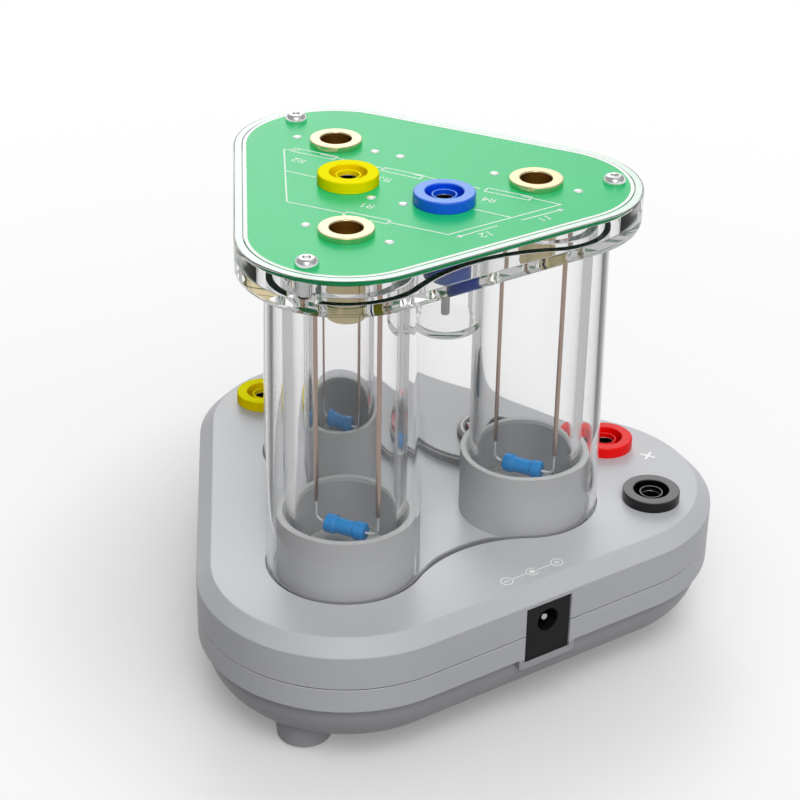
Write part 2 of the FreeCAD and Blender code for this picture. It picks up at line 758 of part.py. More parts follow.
# Tray and board
def makeTray():
    """The clear tray: a rim round the board, a ledge under it, bosses, and wells for two sockets."""
    body = bind(newBody("Tray"), x="towerX", y="towerY")
    block = pad(body, triangleSketch(body, "boardArm", "boardRadius + trayMargin", "trayBottom"),
                "boardTop - trayBottom")
    rounded = dress(body, "Fillet", block, "trayBottom", "trayRound")
    dress(body, "Fillet", rounded, "boardTop", "smallChamfer")
    pocket(body, triangleSketch(body, "boardArm", "boardRadius + slack", "boardTop - boardThickness"),
           "boardThickness")
    pocket(body, triangleSketch(body, "boardArm", "boardRadius - cavityMargin", "trayBottom + trayFloor"),
           "boardTop - trayBottom - trayFloor")
    added = []
    holes = []
    for deg in corners.values():
        x, y = around(deg, "bossArm")
        added.append(cylinder("bossRadius", "boardTop - boardThickness - trayBottom - trayFloor", x, y,
                              "trayBottom + trayFloor"))
        holes.append(cylinder("screwHole", "boardScrewLength", x, y, "boardTop - boardScrewLength - slack"))
        x, y = around(deg, "chamberArm")
        holes.append(cylinder("portBarrel + slack * 2", "trayFloor * 3", x, y, "trayBottom - trayFloor"))
        for place in rodPlaces(x, y).values():
            holes.append(cylinder("rodRadius + slack * 4", "trayFloor * 3", *place, "trayBottom - trayFloor"))
    for x, y, *rest in list(socketPlaces.values())[:2]:
        added.append(cylinder("wellRadius", "trayBottom + trayFloor - wellBottom", x, y, "wellBottom"))
        holes.append(cylinder("wellRadius - wellWall", "trayBottom + trayFloor - wellBottom", x, y,
                              "wellBottom + wellWall"))
    keep(cut(fuse(body, *added), *holes), "cap_tray")


def makeBoard():
    body = bind(newBody("Board"), x="towerX", y="towerY")
    pad(body, triangleSketch(body, "boardArm", "boardRadius", "boardTop - boardThickness"),
        "boardThickness")
    holes = []
    screws = []
    for deg in corners.values():
        x, y = around(deg, "chamberArm")
        holes.append(cylinder("portBarrel + slack / 2", "boardThickness * 3", x, y,
                              "boardTop - boardThickness * 2"))
        x, y = around(deg, "bossArm")
        holes.append(cylinder("boardHole", "boardThickness * 3", x, y, "boardTop - boardThickness * 2"))
        screw = lathe([
            ("0", "0"), ("screwRadius", "0"), ("screwRadius", "boardScrewLength"),
            ("buttonRadius", "boardScrewLength"),
            ("buttonRadius", "boardScrewLength + smallChamfer"),
            ("buttonShoulder", "boardScrewLength + shoulderHeight"),
            ("buttonCrown", "boardScrewLength + buttonHeight"),
            ("0", "boardScrewLength + buttonHeight")], x, y, "boardTop - boardScrewLength")
        screws.append(cut(screw, hexagon("hexSocket", "hexDepth * 2", x, y,
                                         "boardTop + buttonHeight - hexDepth")))
    for x, y, *rest in list(socketPlaces.values())[:2]:
        holes.append(cylinder("barrelRadius + slack", "boardThickness * 3", x, y,
                              "boardTop - boardThickness * 2"))
    keep(cut(body, *holes), "circuit_board")
    keep(group(*screws), "board_screws")


makeUpperShell()
makeLowerShell()
makeFeetAndScrews()
makeInlet()
makeSwitch()
makeOuterShell()
makeChambers()
makeTray()
makeBoard()
makeSockets()
doc.recompute()

for item in doc.Objects:
    if "Invalid" in item.State or "Error" in item.State:
        raise SystemExit("failed: %s (%s) %s" % (item.Name, item.Label, item.State))

os.makedirs("parts", exist_ok=True)
for item in subParts:
    shape = item.Shape
    if shape.isNull() or not shape.isValid() or not shape.Solids:
        raise SystemExit("no valid shape: " + item.Label)
    shape.exportStep("parts/%s.step" % item.Label)
    print("%-28s %2d solid(s) %10.1f mm3" % (item.Label, len(shape.Solids), shape.Volume))
print(len(subParts), "sub-parts")
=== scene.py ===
import math

import bpy
import numpy as np
from mathutils import Matrix


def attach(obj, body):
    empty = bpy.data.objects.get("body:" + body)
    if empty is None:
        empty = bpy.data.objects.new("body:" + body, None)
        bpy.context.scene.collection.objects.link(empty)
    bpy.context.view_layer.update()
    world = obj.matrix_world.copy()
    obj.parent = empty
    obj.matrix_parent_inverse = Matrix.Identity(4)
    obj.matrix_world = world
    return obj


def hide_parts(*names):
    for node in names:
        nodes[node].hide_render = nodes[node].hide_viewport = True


# Resistor-heating demonstration tower: a grey case, a clear three-chamber tower and a green board on top.
# Sizes in the dictionaries are millimetres in the CAD frame, and turns are degrees.

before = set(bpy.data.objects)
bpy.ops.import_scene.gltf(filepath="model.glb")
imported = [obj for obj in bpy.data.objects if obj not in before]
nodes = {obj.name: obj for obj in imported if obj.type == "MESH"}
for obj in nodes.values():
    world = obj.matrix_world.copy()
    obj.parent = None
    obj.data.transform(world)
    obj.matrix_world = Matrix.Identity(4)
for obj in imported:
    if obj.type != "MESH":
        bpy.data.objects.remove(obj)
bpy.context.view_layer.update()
scene = bpy.context.scene
mm = 0.001
corners = {"back": 90, "front_left": 210, "right": 330}  # where each corner points
rodTurn = -60  # the line from one rod of a chamber to the other
boardTop = 112.2
print("frame loaded:", len(nodes), "nodes")


# Shapes: every surface is a stack of closed rings of points

def ray(degrees):
    # the unit direction at an angle in the plane: its cosine and its sine
    angle = np.radians(degrees)
    return np.stack([np.cos(angle), np.sin(angle)], -1)


def gridShape(rings, loop=False):
    # each two neighbours on a ring and the same two on the next ring make a face; loop joins the last ring
    # to the first, otherwise a flat face closes each end. Wrap is the share of the way round a ring, and
    # the millimetres from ring to ring
    rings = np.asarray(rings, float)
    rows, columns = rings.shape[:2]
    order = np.arange(rows * columns).reshape(rows, columns)
    low, high = (order, np.roll(order, -1, 0)) if loop else (order[:-1], order[1:])
    quads = np.stack([low, np.roll(low, -1, 1), np.roll(high, -1, 1), high], -1).reshape(-1, 4)
    ends = np.concatenate([rings[:, 0], rings[:1, 0]])
    along = np.concatenate([[0], np.cumsum(np.linalg.norm(np.diff(ends, axis=0), axis=1))])
    across = np.arange(columns) / columns
    wrap = np.empty((len(low), columns, 4, 2))
    wrap[..., 0] = across[:, None] + np.array([0, 1, 1, 0]) / columns
    wrap[..., :2, 1] = along[:len(low), None, None]
    wrap[..., 2:, 1] = along[1:len(low) + 1, None, None]
    caps = [] if loop else [order[0, ::-1], order[-1]]
    return rings.reshape(-1, 3), quads, caps, wrap.reshape(-1, 2)


def makeMesh(name, shapes):
    # all shapes in one mesh, millimetres turned to metres
    points, faces, wraps, count = [], [], [], 0
    for shapePoints, quads, caps, wrap in shapes:
        faces += (quads + count).tolist() + [(cap + count).tolist() for cap in caps]
        wraps += [wrap] + [np.zeros((len(cap), 2)) for cap in caps]
        points.append(shapePoints)
        count += len(shapePoints)
    mesh = bpy.data.meshes.new(name)
    mesh.from_pydata((np.concatenate(points) * mm).tolist(), [], faces)
    layer = mesh.uv_layers.new(name="Wrap")
    layer.data.foreach_set("uv", np.concatenate(wraps).astype(np.float32).ravel())
    return mesh


def smoothMesh(mesh, sharpAngle=35):
    # smooth shading, except over edges that bend more than the angle
    mesh.shade_smooth()
    mesh.set_sharp_from_angle(angle=math.radians(sharpAngle))
    return mesh


def newObject(name, shapes):
    # the shapes as one smooth object in the scene
    item = bpy.data.objects.new(name, smoothMesh(makeMesh(name, shapes)))
    scene.collection.objects.link(item)
    return item


def addPiece(item, finish, slotName, replaced=(), body="apparatus"):
    # the object gets its finish and its body, and the CAD nodes that it stands for are hidden; the slot name
    # is not used
    item.data.materials.clear()
    item.data.materials.append(finishes[finish])
    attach(item, body)
    if replaced:
        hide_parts(*replaced)


def makePiece(name, shapes, *looks):
    # a new object of the shapes, added with its finish, CAD nodes and body
    addPiece(newObject(name, shapes), *looks)


def carve(item, shapes, operation="DIFFERENCE"):
    # takes shapes away from a solid, or joins them to it
    for shape in shapes:
        tool = newObject("tool", [shape])
        change = item.modifiers.new("Carve", "BOOLEAN")
        change.operation, change.solver, change.object = operation, "EXACT", tool
        bpy.context.view_layer.update()
        result = bpy.data.meshes.new_from_object(item.evaluated_get(bpy.context.evaluated_depsgraph_get()))
        item.modifiers.clear()
        old, item.data = item.data, result
        bpy.data.meshes.remove(old)
        bpy.data.objects.remove(tool)
    smoothMesh(item.data)
    return item


def softened(marks, steps=5, guard=0.02, loop=False):
    # a path of (across, up, rounding) marks; each becomes an arc that touches both its sides, with a guard
    # point just before and after it, so that flat faces stay flat when shaded
    path = []
    for index, (across, up, rounding) in enumerate(marks):
        here = np.array([across, up], float)
        if rounding == 0 or (not loop and index in (0, len(marks) - 1)):
            path.append(here)
            continue
        before = np.array(marks[index - 1][:2], float) - here
        after = np.array(marks[(index + 1) % len(marks)][:2], float) - here
        before, after = before / np.linalg.norm(before), after / np.linalg.norm(after)
        half = math.acos(np.clip(before @ after, -1, 1)) / 2
        start, end = here + before * rounding / math.tan(half), here + after * rounding / math.tan(half)
        middle = before + after
        centre = here + middle / np.linalg.norm(middle) * rounding / math.sin(half)
        first, last = start - centre, end - centre
        opening = math.pi - 2 * half
        share = np.linspace(0, 1, steps + 1)[:, None]
        arc = (np.sin((1 - share) * opening) * first + np.sin(share * opening) * last) / math.sin(opening)
        path += [start + before * guard, *(centre + arc), end + after * guard]
    return np.array(path)


def turnedRings(profile, centre=(0, 0), height=0, segments=96):
    # each (radius, height) of the profile becomes a circle about an upright axis
    profile = np.asarray(profile, float)
    rings = np.empty((len(profile), segments, 3))
    rings[..., :2] = profile[:, None, :1] * ray(np.arange(segments) * 360 / segments) + np.array(centre)
    rings[..., 2] = profile[:, None, 1] + height
    return rings


def turned(marks, centre=(0, 0), height=0, segments=96, loop=False, steps=5):
    # a softened profile carried round an upright axis
    return gridShape(turnedRings(softened(marks, steps, loop=loop), centre, height, segments), loop)


def post(radius, low, high, place, segments=48):
    # an upright cylinder: the same circle at two heights
    return gridShape(turnedRings([(radius, low), (radius, high)], place, segments=segments))


def moved(shape, matrix):
    # every point turned by the matrix, then shifted by it
    points, quads, caps, wrap = shape
    turn, shift = np.array(matrix.to_3x3()), np.array(matrix.translation)
    return points @ turn.T + shift, quads, caps, wrap


def turnAbout(axis, degrees):
    # a turn about one of the three axes
    return Matrix.Rotation(math.radians(degrees), 4, axis)


def boxShape(low, high):
    # eight corners as two square rings
    (x0, y0, z0), (x1, y1, z1) = low, high
    square = np.array([[x0, y0], [x1, y0], [x1, y1], [x0, y1]], float)
    return gridShape([np.column_stack([square, np.full(4, z)]) for z in (z0, z1)])


def tubeRings(path, radius, sides=16):
    # a circle square to the path at each of its points; the path lies in one upright plane
    path = np.asarray(path, float)
    heading = np.gradient(path, axis=0)
    heading /= np.linalg.norm(heading, axis=1)[:, None]
    span = path[-1] - path[0]
    level = np.cross([0, 0, 1], [span[0], span[1], 0])
    level /= np.linalg.norm(level)
    other = np.cross(heading, level)
    angle = np.linspace(0, 2 * math.pi, sides, endpoint=False)
    return path[:, None] + radius * (np.cos(angle)[:, None] * level + np.sin(angle)[:, None] * other[:, None])


def strip(path, width, height, thickness=0.03):
    # a flat printed line: a low box section carried along the path, mitred at its corners
    path = np.asarray(path, float)
    heading = np.diff(path, axis=0)
    heading /= np.linalg.norm(heading, axis=1)[:, None]
    before = np.vstack([heading[:1], heading])
    after = np.vstack([heading, heading[-1:]])
    middle = before + after
    middle /= np.linalg.norm(middle, axis=1)[:, None]
    sharpest = 0.3
    reach = width / 2 / np.clip((middle * before).sum(1), sharpest, 1)[:, None]
    side = np.column_stack([-middle[:, 1], middle[:, 0]]) * reach
    rings = np.empty((len(path), 4, 3))
    rings[:, 0, :2] = rings[:, 3, :2] = path - side
    rings[:, 1, :2] = rings[:, 2, :2] = path + side
    rings[:, :2, 2] = height - thickness / 2
    rings[:, 2:, 2] = height + thickness
    return gridShape(rings)


def circleStrip(centre, radius, width, height, start=0, end=360, steps=40):
    # a printed line along an arc about the centre
    return strip(np.array(centre) + radius * ray(np.linspace(start, end, steps + 1)), width, height)


def band(ringAt, section):
    # a closed band: one outline for each (across, up) of its section, the last joined to the first
    return gridShape([ringAt(across, up) for across, up in section], loop=True)


def boxSection(start, end, low, high):
    # up one side, across, and down the other side
    return [(start, low), (start, high), (end, high), (end, low)]


# Outlines

caseSizes = {
    "middleY": -9.0, "arm": 36.0, "radius": 33.0,
    "top": 34.0, "seam": 22.8, "skirt": 16.8, "bottom": 4.5,
    "chamfer": 3.2, "chamferRound": 0.55, "seamGap": 0.2, "seamRound": 0.12,
    "wall": 2.2, "ceiling": 30.8, "flat": 1.5, "rimFlat": 1.0,
    "bellyInset": 1.5, "bellyRound": 11.0, "cavityRound": 9.0, "turnIn": 0.05,
    "recess": 1.6, "rimRound": 0.15,
}
towerSizes = {
    "x": -7.45, "y": -13.3, "arm": 27.7,
    "lobe": 17.6, "hollow": 29.0, "topHollow": 37.92,
    "shellGap": 0.15, "shellDraft": 1.0, "shellWall": 1.4, "shellTop": 103.65, "seal": 0.2,
    "tubeRadius": 13.1, "tubeBore": 11.1, "tubeTop": 103.75,
    "clear": 0.02, "sealInset": 0.03, "footOut": 0.13, "footLow": 0.03, "footHigh": 0.01,
}
towerAxis = np.array([towerSizes["x"], towerSizes["y"]])
caseMiddle = np.array([0, caseSizes["middleY"]])
caseFront = caseSizes["middleY"] - caseSizes["arm"] / 2 - caseSizes["radius"]
seamLow = caseSizes["seam"] - caseSizes["seamGap"] / 2
seamHigh = caseSizes["seam"] + caseSizes["seamGap"] / 2
recessFloor = caseSizes["top"] - caseSizes["recess"]


def cornerPlaces(middle, arm):
    # one place at arm from the middle on the ray to each corner
    return [middle + arm * ray(turn) for turn in corners.values()]


chambers = dict(zip(corners, cornerPlaces(towerAxis, towerSizes["arm"])))


def lobedOutline(hollow, lobeSteps=120, hollowSteps=60):
    # three lobes about the chambers, joined by hollow arcs; points and outward normals about the tower axis.
    # A hollow arc's centre lies at lobe + hollow from two chambers; Pythagoras gives its reach from the axis
    arm, lobe = towerSizes["arm"], towerSizes["lobe"]
    reach = arm / 2 + math.sqrt((lobe + hollow) ** 2 - 0.75 * arm ** 2)
    turn = math.degrees(math.atan2(reach * math.sin(math.pi / 3), reach * 0.5 - arm))
    points, normals = [], []
    for corner in corners.values():
        lobeAngles = corner + np.linspace(-turn, turn, lobeSteps, endpoint=False)
        hollowAngles = corner + 240 + np.linspace(turn - 60, 60 - turn, hollowSteps, endpoint=False)
        points += [arm * ray(corner) + lobe * ray(lobeAngles),
                   reach * ray(corner + 60) + hollow * ray(hollowAngles)]
        normals += [ray(lobeAngles), -ray(hollowAngles)]
    return np.concatenate(points), np.concatenate(normals)


lobedPoints, lobedNormals = lobedOutline(towerSizes["hollow"])
topPoints, topNormals = lobedOutline(towerSizes["topHollow"])
towerAngles = np.degrees(np.arctan2(lobedPoints[:, 1], lobedPoints[:, 0]))


def atHeight(points, height):
    # flat points lifted to a height
    return np.column_stack([points, np.full(len(points), height)])


def lobedRing(outset, height):
    # the tower's outline pushed out along its normals
    return atHeight(towerAxis + lobedPoints + outset * lobedNormals, height)


def shellRing(outset, height):
    # the outline goes over from the recess outline to the top one, whose hollows are shallower, as it rises,
    # and draws in by the draft
    rise = (height - recessFloor) / (towerSizes["shellTop"] - recessFloor)
    outset = outset - towerSizes["shellGap"] - towerSizes["shellDraft"] * rise
    foot, head = lobedPoints + outset * lobedNormals, topPoints + outset * topNormals
    return atHeight(towerAxis + foot + (head - foot) * rise, height)


def triangleRing(middle, arm, radius, height, arcSteps=48):
    # three arcs of the radius, centred at arm on the rays to the corners
    angles = np.linspace(-60, 60, arcSteps + 1)
    ring = np.concatenate([arm * ray(corner) + radius * ray(corner + angles) for corner in corners.values()])
    return atHeight(ring + np.array(middle), height)


def roundCaseRing(inset, height):
    # the case outline as three corner arcs, drawn in by the inset
    return triangleRing(caseMiddle, caseSizes["arm"], caseSizes["radius"] - inset, height)


def caseRing(inset, height):
    # the case outline where rays from the tower axis meet it, so that it pairs with the recess outline:
    # along each ray the nearest straight side, or the corner's arc where the ray leaves through one
    arm, radius, tiny = caseSizes["arm"], caseSizes["radius"] - inset, 1e-6
    start, heading = towerAxis - caseMiddle, ray(towerAngles)
    reach = np.full(len(heading), np.inf)
    for corner in corners.values():
        facing = heading @ ray(corner + 60)
        distance = (arm / 2 + radius - start @ ray(corner + 60)) / np.where(facing > tiny, facing, tiny)
        reach = np.where(facing > tiny, np.minimum(reach, distance), reach)
    for corner in corners.values():
        offset = start - arm * ray(corner)
        along = heading @ offset
        inside = along ** 2 - offset @ offset + radius ** 2
        far = -along + np.sqrt(np.maximum(inside, 0))
        hit = offset + far[:, None] * heading
        onArc = (inside > 0) & (hit @ ray(corner) > radius * 0.5 - tiny / 1000)
        reach = np.where(onArc, far, reach)
    return atHeight(towerAxis + reach[:, None] * heading, height)


# Finishes

def newGroup(name, inputs, outputs):
    # a shader node group with named sockets: (name, socket kind, value)
    group = bpy.data.node_groups.new(name, "ShaderNodeTree")
    for label, kind, amount in inputs:
        socket = group.interface.new_socket(label, in_out="INPUT", socket_type="NodeSocket" + kind)
        socket.default_value = amount
    for label, kind in outputs:
        group.interface.new_socket(label, in_out="OUTPUT", socket_type="NodeSocket" + kind)
    return group, group.nodes.new("NodeGroupInput").outputs, group.nodes.new("NodeGroupOutput").inputs


def addNode(tree, kind, settings=None, **inputs):
    # a node with its settings, and its inputs, by name or as i and a number, set to values or linked
    item = tree.nodes.new("ShaderNode" + kind)
    for key, setting in (settings or {}).items():
        setattr(item, key, setting)
    for label, given in inputs.items():
        label = label.replace("_", " ")
        numbered = label[0] == "i" and label[1:].isdigit()
        socket = item.inputs[int(label[1:]) if numbered else label]
        if isinstance(given, bpy.types.NodeSocket):
            tree.links.new(given, socket)
        else:
            socket.default_value = given
    return item


def mathNode(tree, operation, first, second=0.0, third=0.0):
    # one sum of numbers or sockets
    return addNode(tree, "Math", {"operation": operation}, i0=first, i1=second, i2=third).outputs[0]


def mixValue(tree, share, first, second):
    # the first value where share is 0, the second where it is 1
    return addNode(tree, "Mix", {"data_type": "FLOAT"}, i0=share, i2=first, i3=second).outputs[0]


def mixColour(tree, share, first, second):
    # the first colour where share is 0, the second where it is 1
    return addNode(tree, "Mix", {"data_type": "RGBA"}, i0=share, i6=(*first, 1), i7=(*second, 1)).outputs[2]


def softRange(tree, value, start, end, low=0.0, high=1.0):
    # low up to start, high from end on, and a smooth step between them
    return addNode(tree, "MapRange", {"interpolation_type": "SMOOTHSTEP"}, Value=value, From_Min=start,
                   From_Max=end, To_Min=low, To_Max=high).outputs[0]


def lightPath(tree):
    # which kind of ray asks, and how many surfaces it has met
    return addNode(tree, "LightPath").outputs


def objectPlace(tree):
    # the place in the object's own frame, in metres
    return addNode(tree, "TexCoord").outputs["Object"]


def upPart(tree, vector):
    # the upright part of a vector
    return addNode(tree, "SeparateXYZ", None, Vector=vector).outputs[2]


def noiseNode(tree, place, size, **values):
    # noise whose cells are as large as the millimetres given
    scale = mathNode(tree, "DIVIDE", 1 / mm, size)
    return addNode(tree, "TexNoise", None, Vector=place, Scale=scale, **values).outputs["Fac"]


def bumpNormal(tree, depth, height):
    # bumps as deep as the millimetres given
    distance = mathNode(tree, "DIVIDE", depth, 1 / mm)
    return addNode(tree, "Bump", None, Strength=1.0, Distance=distance, Height=height).outputs["Normal"]


def buildGrain():
    # moulded or lacquered surface: fine bumps, and slow changes of shade and gloss
    group, given, result = newGroup("surfaceGrain", [
        ("Colour", "Color", (0.5, 0.5, 0.5, 1)), ("Shade", "Float", 0.05), ("Roughness", "Float", 0.4),
        ("Gloss change", "Float", 0.05), ("Grain size", "Float", 0.3), ("Grain depth", "Float", 0.02),
        ("Cloud size", "Float", 20.0)],
        [("Colour", "Color"), ("Roughness", "Float"), ("Normal", "Vector")])
    place = objectPlace(group)
    fine = noiseNode(group, place, given["Grain size"], Detail=2.0, Roughness=0.6)
    cloud = noiseNode(group, place, given["Cloud size"], Detail=3.0)
    centred = mathNode(group, "SUBTRACT", cloud, 0.5)
    shade = mathNode(group, "MULTIPLY_ADD", centred, given["Shade"], 1.0)
    colour = addNode(group, "VectorMath", {"operation": "SCALE"}, i0=given["Colour"], Scale=shade).outputs[0]
    both = mathNode(group, "MULTIPLY_ADD", mathNode(group, "SUBTRACT", fine, 0.5), 0.5, centred)
    roughness = mathNode(group, "MULTIPLY_ADD", both, given["Gloss change"], given["Roughness"])
    group.links.new(colour, result["Colour"])
    group.links.new(roughness, result["Roughness"])
    group.links.new(bumpNormal(group, given["Grain depth"], fine), result["Normal"])
    return group


def buildTurning():
    # fine tool lines round a turned piece, or drawn lines along it when Across is 1
    group, given, result = newGroup("toolLines", [
        ("Line size", "Float", 0.08), ("Line depth", "Float", 0.004), ("Across", "Float", 0.0),
        ("Roughness", "Float", 0.2), ("Gloss change", "Float", 0.1)],
        [("Roughness", "Float"), ("Normal", "Vector")])
    linesRound = 90.0
    wrap = addNode(group, "UVMap", {"uv_map": "Wrap"}).outputs[0]
    parts = addNode(group, "SeparateXYZ", None, Vector=wrap).outputs
    along = mathNode(group, "DIVIDE", parts[1], given["Line size"])
    around = mathNode(group, "MULTIPLY", parts[0], linesRound)
    chosen = mixValue(group, given["Across"], along, around)
    line = addNode(group, "TexNoise", {"noise_dimensions": "1D"}, W=chosen, Scale=1.0, Detail=3.0,
                   Roughness=0.7).outputs["Fac"]
    centred = mathNode(group, "SUBTRACT", line, 0.5)
    roughness = mathNode(group, "MULTIPLY_ADD", centred, given["Gloss change"], given["Roughness"])
    group.links.new(roughness, result["Roughness"])
    group.links.new(bumpNormal(group, given["Line depth"], line), result["Normal"])
    return group


grainGroup, turningGroup = buildGrain(), buildTurning()
finishes = {}


def newFinish(name):
    # an empty material, kept under its name
    material = finishes[name] = bpy.data.materials.new(name)
    material.use_nodes = True
    material.node_tree.nodes.clear()
    return material.node_tree


def mixShader(tree, share, first, second):
    # the first shader where share is 0, the second where it is 1
    return addNode(tree, "MixShader", None, i0=share, i1=first.outputs[0], i2=second.outputs[0])


def showShader(tree, shader):
    # the shader becomes the material's surface
    addNode(tree, "OutputMaterial", None, Surface=shader.outputs[0])


def plasticFinish(name, colour, roughness=0.4, shade=0.05, glossChange=0.08, grain=0.3, depth=0.01,
                  cloud=20.0, specular=0.5, metal=0.0, upper=None, paintedBellyShade=None):
    # grained plastic. Faces that look up can get a lighter colour, painted highlight for the light that falls
    # on tops; all below the skirt can get a darker one, painted shade under the band
    tree = newFinish(name)
    shader = addNode(tree, "BsdfPrincipled", None, Specular_IOR_Level=specular, Metallic=metal)
    showShader(tree, shader)
    group = addNode(tree, "Group", {"node_tree": grainGroup}, Colour=(*colour, 1), Shade=shade,
                    Roughness=roughness, Gloss_change=glossChange, Grain_size=grain, Grain_depth=depth,
                    Cloud_size=cloud)
    for label, socket in (("Colour", "Base Color"), ("Roughness", "Roughness"), ("Normal", "Normal")):
        tree.links.new(group.outputs[label], shader.inputs[socket])
    # painted highlight: faces that look up are mixed towards the lighter colour
    if upper:
        start, end = 0.6, 0.95
        share = softRange(tree, upPart(tree, addNode(tree, "NewGeometry").outputs["Normal"]), start, end)
        tree.links.new(mixColour(tree, share, colour, upper), group.inputs["Colour"])
    # painted shade: all below the skirt takes the darker colour, standing in for the shade under the band
    if paintedBellyShade:
        clear = 0.05
        paintedShadeTop = (caseSizes["skirt"] - clear) * mm
        share = mathNode(tree, "GREATER_THAN", upPart(tree, objectPlace(tree)), paintedShadeTop)
        tree.links.new(mixColour(tree, share, paintedBellyShade, colour), group.inputs["Colour"])


def metalFinish(name, colour, roughness=0.2, lines=0.08, depth=0.003, glossChange=0.12, across=0.0):
    # tooled metal
    tree = newFinish(name)
    shader = addNode(tree, "BsdfPrincipled", None, Metallic=1.0, Base_Color=(*colour, 1))
    showShader(tree, shader)
    group = addNode(tree, "Group", {"node_tree": turningGroup}, Line_size=lines, Line_depth=depth,
                    Across=across, Roughness=roughness, Gloss_change=glossChange)
    for label in ("Roughness", "Normal"):
        tree.links.new(group.outputs[label], shader.inputs[label])


def clearFinish(name, colour, shade=(0.99, 0.99, 0.99), bend=1.49, gleam=0.35, deepest=22):
    # clear plastic: it bends sight; lamp and diffuse light pass straight on, a little weaker, and so does
    # sight that has crossed very many surfaces
    tree = newFinish(name)
    shader = addNode(tree, "BsdfPrincipled", None, Base_Color=(*colour, 1), Roughness=0.0, IOR=bend,
                     Transmission_Weight=1.0, Specular_Tint=(gleam, gleam, gleam, 1))
    path = lightPath(tree)
    light = mathNode(tree, "MAXIMUM", path["Is Shadow Ray"], path["Is Diffuse Ray"])
    deep = mathNode(tree, "GREATER_THAN", path["Ray Depth"], deepest - 0.5)
    passing = addNode(tree, "BsdfTransparent", None, Color=mixColour(tree, light, (1, 1, 1), shade))
    showShader(tree, mixShader(tree, mathNode(tree, "MAXIMUM", light, deep), shader, passing))


caseLook = dict(colour=(0.558, 0.567, 0.600), roughness=0.38, shade=0.04, grain=0.22, depth=0.012, cloud=35.0,
                specular=0.4)
plasticFinishes = {
    "caseGrey": caseLook,
    # the lower case is darker below the skirt: painted shade under the band
    "caseLowerGrey": dict(caseLook, paintedBellyShade=(0.415, 0.421, 0.447)),
    "cupGrey": dict(colour=(0.55, 0.555, 0.565), roughness=0.42, grain=0.22, cloud=15.0, specular=0.2),
    # the lighter colours for faces that look up are painted highlights on lit tops
    "blackPlastic": dict(colour=(0.002, 0.002, 0.0021), roughness=0.3, grain=0.15, depth=0.006, specular=0.4,
                         upper=(0.15, 0.15, 0.151)),
    "jackBlack": dict(colour=(0.004, 0.004, 0.0042), roughness=0.5, grain=0.12, depth=0.012, specular=0.18),
    "yellowPlastic": dict(colour=(1.0, 0.78, 0.0), roughness=0.34, grain=0.2, depth=0.006, specular=0.0,
                          upper=(1.0, 0.93, 0.01)),
    "bluePlastic": dict(colour=(0.001, 0.095, 0.88), roughness=0.24, grain=0.2, depth=0.006, specular=0.85,
                        upper=(0.02, 0.24, 0.88)),
    "redPlastic": dict(colour=(0.95, 0.004, 0.004), roughness=0.32, grain=0.2, depth=0.006, specular=0.15),
    "rockerRed": dict(colour=(0.62, 0.01, 0.02), roughness=0.2, grain=0.2, depth=0.004),
    # black for the shell's seal, and for the painted shade in the case's seam gap
    "sealBlack": dict(colour=(0.004, 0.004, 0.004), roughness=0.7, depth=0.002, specular=0.0),
    # the rib's grey, darker than the case's: painted shade at the shell's foot
    "ribGrey": dict(colour=(0.25, 0.253, 0.26), roughness=0.5, grain=0.22, cloud=15.0, specular=0.2),
    # painted shade under the clear shell's foot
    "footDark": dict(colour=(0.12, 0.12, 0.125), roughness=0.6, grain=0.2, depth=0.004, specular=0.1),
    "footRubber": dict(colour=(0.03, 0.03, 0.03), roughness=0.75, grain=0.25, depth=0.03),
    "boardGreen": dict(colour=(0.012, 0.62, 0.20), roughness=0.26, shade=0.10, grain=0.5, depth=0.004,
                       cloud=45.0, specular=0.26),
    "printWhite": dict(colour=(0.96, 0.98, 0.96), roughness=0.55, shade=0.08, grain=0.08, depth=0.006,
                       cloud=2.0),
    # a painted highlight on the clear tray's lip
    "rimPale": dict(colour=(0.80, 0.95, 0.86), roughness=0.3, shade=0.06, depth=0.003, cloud=8.0),
    "resistorBlue": dict(colour=(0.006, 0.33, 0.86), roughness=0.2, shade=0.25, glossChange=0.2, grain=0.5,
                         depth=0.02, cloud=3.0),
    "solder": dict(colour=(0.96, 0.97, 0.96), roughness=0.2, shade=0.1, grain=0.4, cloud=2.0, metal=0.5),
    "leadTin": dict(colour=(0.95, 0.95, 0.94), roughness=0.25, shade=0.1, grain=0.2, depth=0.002, cloud=1.0,
                    metal=0.3),
}
metalFinishes = {
    "brass": dict(colour=(0.78, 0.66, 0.40), roughness=0.17),
    "copper": dict(colour=(0.68, 0.50, 0.41), roughness=0.3, across=1.0, depth=0.002),
    "steel": dict(colour=(0.85, 0.85, 0.855), lines=0.1, depth=0.002),
    "nickel": dict(colour=(0.45, 0.45, 0.44), roughness=0.16, lines=0.1, depth=0.002),
    "faceRing": dict(colour=(0.30, 0.31, 0.30), roughness=0.3, lines=0.05, depth=0.002),
}
clearFinishes = {
    "clearPlastic": dict(colour=(0.995, 0.995, 0.996)),
    "clearTray": dict(colour=(0.975, 0.975, 0.975), bend=1.25),
    "clearTube": dict(colour=(0.995, 0.995, 0.996), shade=(0.90, 0.90, 0.902)),
}
makers = [(plasticFinish, plasticFinishes), (metalFinish, metalFinishes), (clearFinish, clearFinishes)]
for make, table in makers:
    for name, values in table.items():
        make(name, **values)
print("finishes:", len(finishes))

# CAD nodes that stay in view as they are

keptNodes = {
    "circuit_board": "boardGreen", "power_board": "boardGreen", "case_screws": "steel", "port_nuts": "brass",
    "socket_nuts": "nickel", "switch_pivot": "steel", "switch_terminals": "brass",
    **{"foot_pad_" + corner: "footRubber" for corner in corners},
}
for name, finish in keptNodes.items():
    item = nodes[name]
    if not item.material_slots:
        item.data.materials.append(None)
    for slot in item.material_slots:
        slot.link = "OBJECT"
        slot.material = finishes[finish]


# Case

